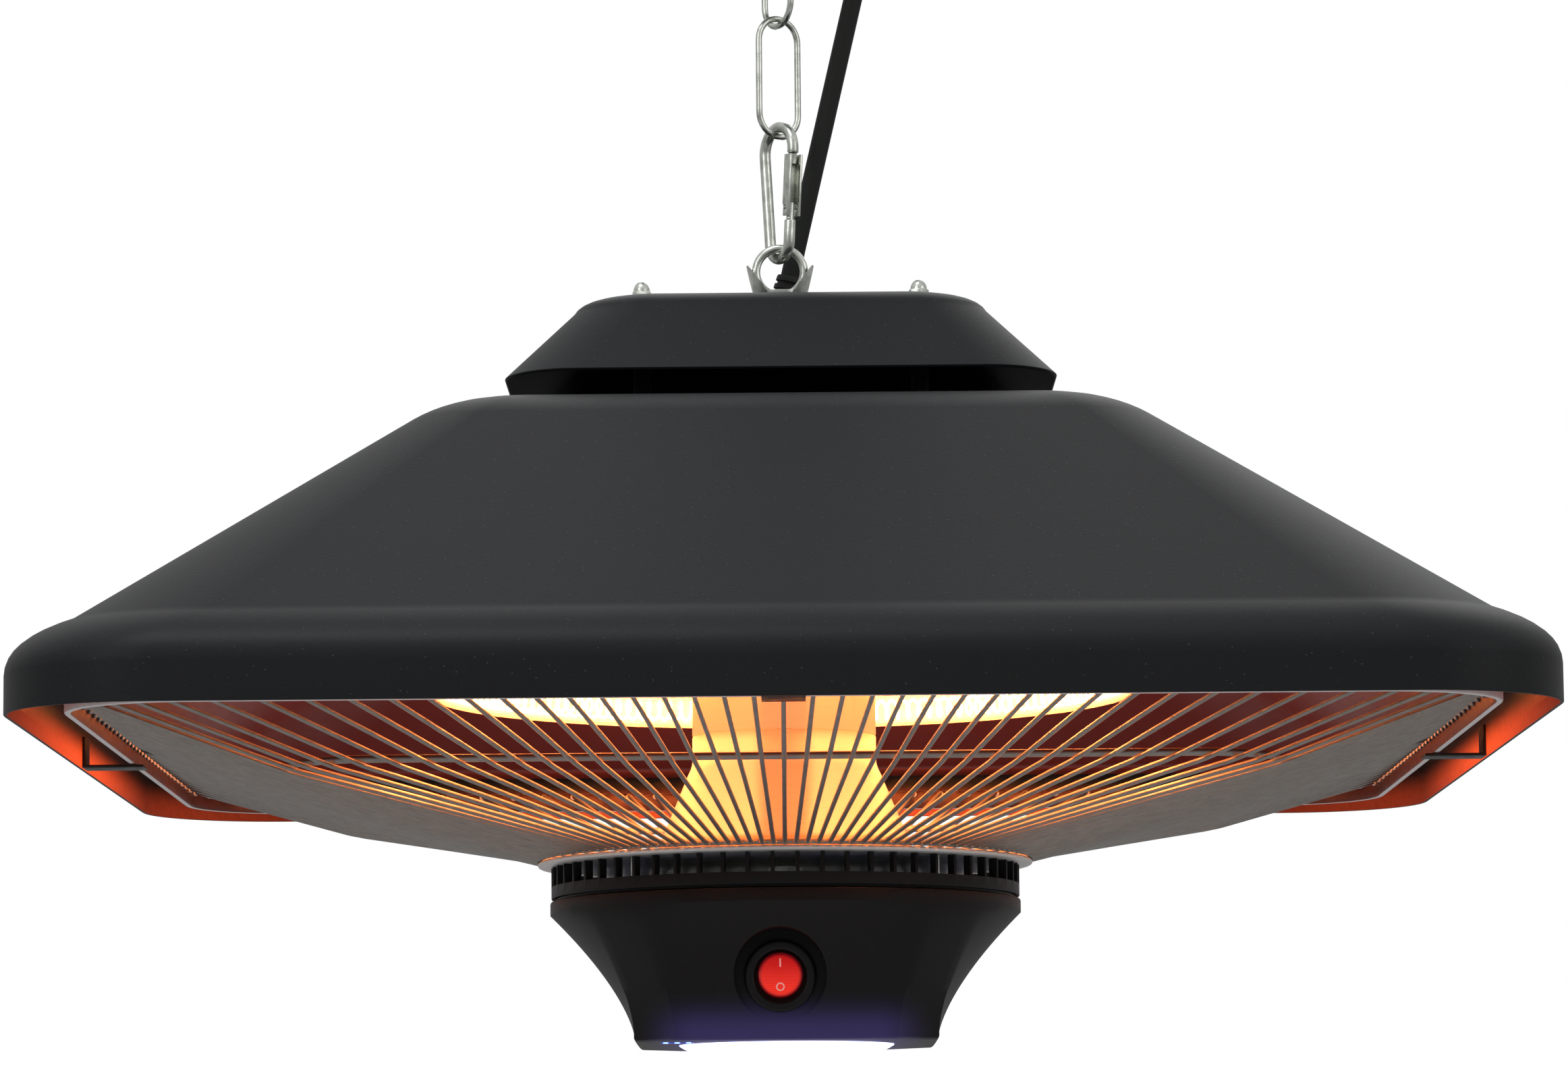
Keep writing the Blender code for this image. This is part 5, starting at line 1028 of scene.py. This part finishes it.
# %% Make the eye and its cup
eye = bar("lifting_eye_fine", arc((0.0, RIM_Z + 0.1769), 0.0086, 0, 352.5, 47), 0.0015, closed=True, sides=18)
shank = turned("eye_shank", [(0.0, 0.1499), (0.0028, 0.1499), (0.003, 0.1503), (0.003, 0.1672),
                             (0.0022, 0.1683), (0.0, 0.1683)], 32, closed=False, base=RIM_Z)
cut(eye, shank, "UNION")
ease(eye, 0.0003, 50)
smooth(eye, 50)
stand_for(eye, "lifting_eye")

NOTCH_LOW, NOTCH_HIGH = 0.1691, 0.1829
wall = bow((0.0062, 0.1589), (0.009, 0.164), (0.0121, 0.1789), 8)
inner = [(radius - 0.0008, rise + 0.0002) for radius, rise in wall[:0:-1]] + [(0.0055, 0.1597)]
cup = turned("eye_cup_fine", [(0.0033, 0.1589), *wall, *inner, (0.0033, 0.1597)], 72, base=RIM_Z)
low_half = 0.0046
high_half = low_half + (0.007 / 0.0098) * (NOTCH_HIGH - NOTCH_LOW)
corners = [(-low_half, NOTCH_LOW), (low_half, NOTCH_LOW), (high_half, NOTCH_HIGH), (-high_half, NOTCH_HIGH)]
notch = skin("cup_notch", [[(x, y, RIM_Z + rise) for x, rise in corners] for y in (-0.02, 0.02)], filled=[0, 1])
cut(cup, notch)
ease(cup, 0.0002, 40)
smooth(cup, 40)
stand_for(cup, "eye_cup")

# %% [markdown]
# ## The lead's sleeve
# A moulded rubber sleeve holds the lead where it leaves the cap. Its foot is a round flange on the sheet, and its
# body is ringed with grooves, so that it bends in an even curve.

# %% Mould the sleeve
foot = moved(*SLEEVE_SPOT, RIM_Z + CAP_TOP)
flange = turned("sleeve_flange", [(0.0037, -0.005), (0.0056, -0.005), (0.0056, 0.0003), (0.0072, 0.0003),
                                  (0.0076, 0.0008), (0.0076, 0.0036), (0.007, 0.0042), (0.0037, 0.0042)], 48)
place(flange, foot)
section = [(0.0037, 0.003), (0.006, 0.003)]
for k in range(5):
    rise = 0.005 + 0.0029 * k
    radius = 0.006 - 0.0014 * (rise - 0.003) / 0.017
    section += [(radius, rise), (radius - 0.0008, rise + 0.0003), (radius - 0.0008, rise + 0.001),
                (radius - 0.0001, rise + 0.0013)]
sleeve = turned("sleeve_body", section + [(0.0046, 0.0196), (0.0043, 0.02), (0.0037, 0.02)], 48)
heading = Vector((0.227647, -0.039354, 0.972948))
place(sleeve, foot @ Vector((0, 0, 1)).rotation_difference(heading).to_matrix().to_4x4())
sleeve = join("cable_gland_fine", [flange, sleeve])
smooth(sleeve, 40)
stand_for(sleeve, "cable_gland")

# %% [markdown]
# ## The reflector
# Over the ring lies a bright pan with a flat top, four slopes and a narrow lip that ends just inside the skirt.
# The column passes through the middle of it. Its bends are rounded like any folded sheet.

# %% Press the reflector
PAN = [(0.247, 0.049, 0.016), (0.2275, 0.0415, 0.0164), (0.224, 0.04, 0.0172), (0.2215, 0.0395, 0.0183),
       (0.103, 0.0285, 0.0838), (0.0995, 0.028, 0.0848), (0.0955, 0.0275, 0.085), (0.0338, 0.0338, 0.085)]
reflector = skin("reflector_fine", [rounded_square(*level) for level in PAN])
sheet(reflector, 0.001, 0.0002)
even_shading(reflector)
stand_for(reflector, "reflector")

# %% [markdown]
# ## Column and cone
# A polished tube comes down through the reflector, and a spun cone flares from it to the plate at the bottom.
# Both are turned pieces, with a fine line between them where one sits on the other.

# %% Turn the column and the cone
column = turned("centre_column_fine", [(0.0316, 0.0098), (0.0324, 0.0098), (0.0326, 0.0101), (0.0326, 0.1143),
                                       (0.0324, 0.1146), (0.0316, 0.1146)], 128, base=RIM_Z)
stand_for(column, "centre_column")
flare = [(0.0324, 0.0095), (0.0326, 0.0092), (0.0326, 0.0015)]
flare += bow((0.0327, 0.0), (0.033, -0.0018), (0.0342, -0.004), 4) + [(0.0404, -0.0189), (0.047, -0.0347)]
flare += [(radius - 0.001, rise) for radius, rise in flare[::-1]]
stand_for(turned("column_cone_fine", flare, 128, base=RIM_Z), "column_cone")

# %% [markdown]
# ## The heating ring
# A coil of resistance wire lies in a quartz tube that is bent to a ring, open at the front where its two ends sit
# in ceramic caps. The coil is wound straight, as in the factory, by a Screw modifier on a single point, and then
# bent round to the ring's radius together with its thickness. The tube is a circle swept round the same way.

# %% Wind the coil and bend the tube
RING_START, RING_SPAN = -79, 338
RING_LENGTH = RING_RADIUS * math.radians(RING_SPAN)
TURNS = 170
coil = line("heating_coil_fine", [(0.0013, 0.0034, 0.0)])
apply_modifier(coil, "SCREW", axis="X", angle=2 * math.pi, steps=12, render_steps=12, iterations=TURNS,
               screw_offset=(RING_LENGTH - 0.0026) / TURNS, use_merge_vertices=False)
coil = round_off(coil, 0.00055, sides=6)
for vert in coil.data.vertices:
    along, across, up = vert.co
    angle = math.radians(RING_START) + along / RING_RADIUS
    vert.co = ((RING_RADIUS + across) * math.cos(angle), (RING_RADIUS + across) * math.sin(angle), RING_Z + up)
smooth(coil, 80)
stand_for(coil, "heating_coil")

tube = primitive("heating_tube_fine", bpy.ops.mesh.primitive_circle_add, vertices=24, radius=0.0062,
                 location=(RING_RADIUS, 0.0, RING_Z), rotation=(math.pi / 2, 0.0, 0.0))
bpy.ops.object.transform_apply()
open_mesh(tube)
bpy.ops.mesh.spin(steps=120, angle=math.radians(RING_SPAN), center=(0, 0, 0), axis=(0, 0, 1))
close_mesh()
place(tube, turned_by(RING_START))
tidy_mesh(tube)
apply_modifier(tube, "SOLIDIFY", thickness=0.0012, offset=-1.0)
smooth(tube, 60)
stand_for(tube, "heating_tube")
for node in numbered("tube_end_cap", 2):
    soften(node, 0.0005)
for node in numbered("tube_holder", 3):
    soften(node, 0.0002)

# %% [markdown]
# ## The guard
# The guard is a dish of 144 round wires, each welded at its foot to a ring on the plate, bent where it passes
# under a square ring half way up, and welded to a flat frame at its head. One wire is drawn with its bend and
# its two welds. Every copy is turned to its own direction and stretched along its length, because the square lies
# farther out at its corners. The measured wires lie above the square ring; the picture shows them under it.

# %% Draw one wire and weld the guard
WIRES = 144
WIRE = 0.00085
FOOT_RING, FOOT_Z = 0.0871, -0.03385
FOOT_REACH = 0.0905
MIDDLE_RING = (0.1641, 0.03)
FRAME_INSIDE = (0.2298, 0.0418)
WIRE_ROUTE = [(0.0864, FOOT_Z), (0.0884, FOOT_Z), (0.0896, -0.0337), (0.0906, -0.0334), (0.125, -0.02409),
              (0.1601, -0.01458), (0.1622, -0.01402), (0.1641, -0.01345), (0.1661, -0.01286),
              (0.1681, -0.01222), (0.199, -0.00227), (0.23, 0.00771)]


def reach(angle, half, corner):
    """How far a square with rounded corners lies from its middle in one direction."""
    spoke = abs((angle + math.pi / 4) % (math.pi / 2) - math.pi / 4)
    straight = half / math.cos(spoke)
    if straight * math.sin(spoke) <= half - corner:
        return straight
    far = (half - corner) * math.sqrt(2)
    off = math.pi / 4 - spoke
    return far * math.cos(off) + math.sqrt(corner ** 2 - (far * math.sin(off)) ** 2)


wire = bar("guard_wire", [(r, 0.0, RIM_Z + z) for r, z in WIRE_ROUTE], WIRE, sides=8)
nugget = primitive("weld_nugget", bpy.ops.mesh.primitive_uv_sphere_add, segments=8, ring_count=6, radius=0.001)
smooth(nugget, 80)
head_nugget = copy_of("weld_nugget_head", nugget)
place(nugget, moved(0.0879, 0.0, RIM_Z - 0.0342) @ Matrix.Diagonal((0.9, 1.35, 0.75, 1.0)))
place(head_nugget, moved(0.2292, 0.0, RIM_Z + 0.007) @ Matrix.Diagonal((0.8, 1.6, 1.2, 1.0)))
wire = join("guard_wire", [wire, nugget, head_nugget])
wires = []
for k in range(WIRES):
    angle = 2 * math.pi * k / WIRES + math.pi / 2
    middle, far = reach(angle, *MIDDLE_RING), reach(angle, *FRAME_INSIDE)
    piece = copy_of(f"guard_wire_{k + 1}", wire)
    for vert in piece.data.vertices:
        r = vert.co.x
        if r > MIDDLE_RING[0]:
            vert.co.x = middle + (r - MIDDLE_RING[0]) * (far - middle) / (FRAME_INSIDE[0] - MIDDLE_RING[0])
        elif r > FOOT_REACH:
            vert.co.x = FOOT_REACH + (r - FOOT_REACH) * (middle - FOOT_REACH) / (MIDDLE_RING[0] - FOOT_REACH)
    place(piece, Matrix.Rotation(angle, 4, "Z"))
    wires.append(piece)
bpy.data.objects.remove(wire)
band = skin("guard_frame", [rounded_square(0.232, 0.044, rise) for rise in (0.0015, 0.0085)])
sheet(band, 0.0022, 0.0005)
smooth(band)
wear(band, frame_steel)
foot_ring = bar("guard_foot_ring", [polar(FOOT_RING, 360 * k / WIRES, RIM_Z + FOOT_Z) for k in range(WIRES)],
                WIRE, closed=True, sides=8)
round_bars = join("guard_wires", [foot_ring, *wires])
wear(round_bars, guard_steel)
stand_for(join("guard_fine", [band, round_bars]), "guard", worn=True)
middle_ring = bar("guard_middle_ring_fine", rounded_square(*MIDDLE_RING, -0.0113), 0.0013, closed=True)
stand_for(middle_ring, "guard_middle_ring")
for node in numbered("guard_clip"):
    soften(node, 0.0002)

# %% [markdown]
# ## Hub plate and vent ring
# The guard rests on a punched ring plate, and under it a moulded ring with sixty upright ribs lets cool air into
# the housing. The plate is turned with a rolled edge. The ribbed ring is the measured one with softened edges.

# %% Turn the hub plate and soften the vent ring
hub = turned("hub_plate_fine", [(0.0, -0.0365), (0.087, -0.0365), (0.08735, -0.0363), (0.0875, -0.036),
                                (0.0875, -0.0355), (0.08735, -0.0352), (0.087, -0.035), (0.0, -0.035)], 160,
             closed=False, base=RIM_Z)
drill(hub, 0.0033, (0.0, 0.0, RIM_Z - 0.0357))
drill(hub, 0.006, (0.0, 0.0163, RIM_Z - 0.0357))
for degrees in (45, 135, 225, 315):
    drill(hub, 0.0018, polar(0.0735, degrees, RIM_Z - 0.0357))
smooth(hub, 40)
stand_for(hub, "hub_plate")
soften("vent_ring", 0.0002)

# %% [markdown]
# ## The housing
# The housing is moulded in one: a round flange below the vent ring, and a body that turns from that circle into a
# square with cut corners as it narrows. The four faces are hollow curves. A stack of outlines between circle and
# square gives this form, and the hollow inside, the switch's round pocket and the lamp's opening are cut from it.

# %% Mould the housing
FOOT = -0.0995
FOOT_HALF, FLAT_HALF, CUT_CORNER = 0.053, 0.039, 0.014


def housing_outline(rise, inset=0.0):
    """One level of the housing, between a circle at the flange and a square with cut corners at the foot."""
    share = min(max((rise - FOOT) / 0.046, 0.0), 1.0)
    half = FOOT_HALF + 0.0302 * share ** 1.55 - inset
    squareness = (1.0 - share) ** 0.8
    edge = math.atan(FLAT_HALF / FOOT_HALF)
    eighth = [edge * k / 12 for k in range(13)] + [edge + (math.pi / 4 - edge) * k / 3 for k in (1, 2, 3)]
    quarter = eighth + [math.pi / 2 - angle for angle in eighth[-2:0:-1]]
    points = []
    for turn in range(4):
        for angle in quarter:
            spoke = min(angle, math.pi / 2 - angle)
            flat = half / math.cos(spoke)
            corner = half * (2 - CUT_CORNER / FOOT_HALF) / math.sqrt(2) / math.cos(math.pi / 4 - spoke)
            radius = half * (1 - squareness) + min(flat, corner) * squareness
            heading = angle + turn * math.pi / 2
            points.append((radius * math.cos(heading), radius * math.sin(heading), RIM_Z + rise))
    return points


levels = [(FOOT, 0.0015), (-0.0993, 0.0009), (-0.0989, 0.0003), (-0.0982, 0.0)]
levels += [(-0.0982 + 0.0447 * (k / 20) ** 1.05, 0.0) for k in range(1, 21)]
levels += [(-0.0496, 0.0), (-0.0491, 0.0002), (-0.0489, 0.0006)]
housing = skin("control_housing_fine", [housing_outline(*level) for level in levels], filled=[0, len(levels) - 1])
levels = [(-0.0973, 0.0037)] + [(-0.0973 + 0.0436 * k / 6, 0.0022) for k in range(1, 7)]
outlines = [housing_outline(*level) for level in levels]
mouth = [Vector((x, y, 0.0)).normalized() * 0.068 for x, y, z in outlines[0]]
outlines += [[(spot.x, spot.y, RIM_Z + rise) for spot in mouth] for rise in (-0.0515, -0.044)]
cavity = skin("housing_cavity", outlines, filled=[0, len(outlines) - 1])
LYING = (math.pi / 2, 0.0, 0.0)
POCKET_DEPTH = 0.06
drill(cavity, 0.0182, (SWITCH[0], -0.0523 - POCKET_DEPTH / 2, SWITCH[1]), POCKET_DEPTH, LYING, 64)
cut(housing, cavity)
drill(housing, 0.016, (SWITCH[0], -0.0545 - POCKET_DEPTH / 2, SWITCH[1]), POCKET_DEPTH, LYING, 96)
drill(housing, 0.0101, (SWITCH[0], -0.0535, SWITCH[1]), turn=LYING, vertices=64)
drill(housing, 0.0383, (0.0, 0.0, RIM_Z + FOOT), vertices=128)
cut(housing, primitive("indicator_slot", bpy.ops.mesh.primitive_cube_add, size=1.0,
                       location=(-0.038, -0.033, RIM_Z + FOOT), scale=(0.012, 0.0032, 0.01)))
ease(housing, 0.0004, 40)
smooth(housing, 32)
stand_for(housing, "control_housing")

# %% [markdown]
# ## The switch
# A round rocker switch sits at the bottom of the pocket: a bezel with a rounded rim, and a rocker of clear red
# plastic with fine ribs for grip and the two usual marks, a bar for on and a ring for off.

# %% Turn the switch and rib its rocker
body = turned("switch_body_fine", [(0.0, 0.0365), (0.0096, 0.0365), (0.0098, 0.0367), (0.0098, 0.0548),
                                   (0.0125, 0.0548), (0.0125, 0.0562), (0.0123, 0.0568), (0.0118, 0.0573),
                                   (0.0113, 0.0574), (0.0099, 0.0574), (0.0093, 0.0572), (0.0089, 0.0567),
                                   (0.0089, 0.0475), (0.0, 0.0475)], 96, closed=False)
place(body, moved(SWITCH[0], 0.0, SWITCH[1]) @ turned_by(90, "X"))
stand_for(body, "switch_body")


def block(name, middle, sides, edge):
    """A small block with eased edges."""
    piece = primitive(name, bpy.ops.mesh.primitive_cube_add, size=1.0)
    place(piece, moved(*middle) @ Matrix.Diagonal((*sides, 1.0)))
    ease(piece, edge)
    return piece


FACE = 0.00295
rocker = turned("switch_rocker_fine", [(0.0, -0.0016), (0.006, -0.0016), (0.0074, -0.0003), (0.0077, 0.0004),
                                       (0.0077, 0.0022), (0.0074, 0.0027), (0.0068, 0.0029), (0.0, FACE)], 72,
                closed=False)
ribs = [block(f"rocker_rib_{k + 11}", (0.0, RIB_PITCH * k, FACE),
              (2 * math.sqrt(0.0069 ** 2 - (RIB_PITCH * k) ** 2), 0.0003, 0.00024), 0.00008)
        for k in range(-10, 11)]
mark_on = block("rocker_mark_on", (0.0, 0.0041, 0.00305), (0.00055, 0.003, 0.0003), 0.0001)
mark_off = primitive("rocker_mark_off", bpy.ops.mesh.primitive_torus_add, major_radius=0.00125,
                     minor_radius=0.00026, major_segments=32, minor_segments=10)
place(mark_off, moved(0.0, -0.0043, 0.00302) @ Matrix.Diagonal((1.0, 1.0, 0.7, 1.0)))
marks = join("rocker_marks", [mark_on, mark_off])
wear(marks, mark_finish)
rocker = join("switch_rocker_fine", [rocker, *ribs])
wear(rocker, rocker_finish)
rocker = join("switch_rocker_fine", [rocker, marks])
smooth(rocker)
place(rocker, moved(SWITCH[0], -0.0548, SWITCH[1]) @ turned_by(90 - 7, "X"))
stand_for(rocker, "switch_rocker", "rocker", worn=True)

# %% [markdown]
# ## The lamp
# The lamp's cover is a shallow milky dish that stands out of the housing's foot, with a flange inside that holds
# it. Beside it a small slot shows three blue lights behind a clear strip.

# %% Turn the lamp's cover
section = bow((0.0, -0.1055), (0.03, -0.1052), (0.0378, -0.0998), 12)
section += [(0.038, -0.099), (0.038, -0.097), (0.041, -0.097), (0.041, -0.095), (0.0352, -0.095)]
section += bow((0.0352, -0.0987), (0.028, -0.103), (0.0, -0.1037), 8)
stand_for(turned("lamp_lens_fine", section, 128, closed=False, base=RIM_Z), "lamp_lens")
soften("indicator_window", 0.0004)

# %% [markdown]
# ## The mains lead
# A rubber lead as thick as a pencil rises from a sleeve in the cap, leans away from the chain and goes up into
# the ceiling, which holds it straight. It crosses four joints on its way, so it is made as one line and cut in
# four where the joints are. Each length is listed with the bodies on either side of its joint, and neighbours
# share the same end.

# %% Lay the mains lead
LEAD_DIAMETER = 0.0068
LEAD_ROUTE = [
    (-0.00328, 0.01889, -0.19373), (-0.00027, 0.01837, -0.18087), (0.00274, 0.01785, -0.16801),
    (0.00575, 0.01733, -0.15514), (0.00876, 0.01681, -0.14228), (0.01177, 0.01629, -0.12942),
    (0.01478, 0.01577, -0.11656), (0.01779, 0.01525, -0.10369), (0.0208, 0.01473, -0.09083),
    (0.02381, 0.01421, -0.07797), (0.02683, 0.01369, -0.06511), (0.02985, 0.01316, -0.05225),
    (0.03282, 0.01267, -0.03938), (0.0356, 0.01223, -0.02646), (0.0366, 0.012, -0.0133),
    (0.0366, 0.012, -0.0006)]
LEAD_PARTS = [("foot", "heater", "hook"), ("low", "hook", "lower_link"), ("high", "lower_link", "upper_link"),
              ("head", "upper_link", "ceiling")]
lead_line = finer(LEAD_ROUTE)
share = (len(lead_line) - 1) // len(LEAD_PARTS)
for k, (part, low_body, high_body) in enumerate(LEAD_PARTS):
    points = lead_line[k * share:(k + 1) * share + 1]
    piece = bar(f"mains_lead_{part}", points, LEAD_DIAMETER / 2, sides=24)
    wear(piece, rubber)
    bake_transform(piece)
    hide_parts("mains_lead")

# %% [markdown]
# ## The measured size
# The measured model's box is printed at the end. A finer piece sits where the measured one was and doesn't grow
# past it.

# %% Finish
print("measured box", cad_box)
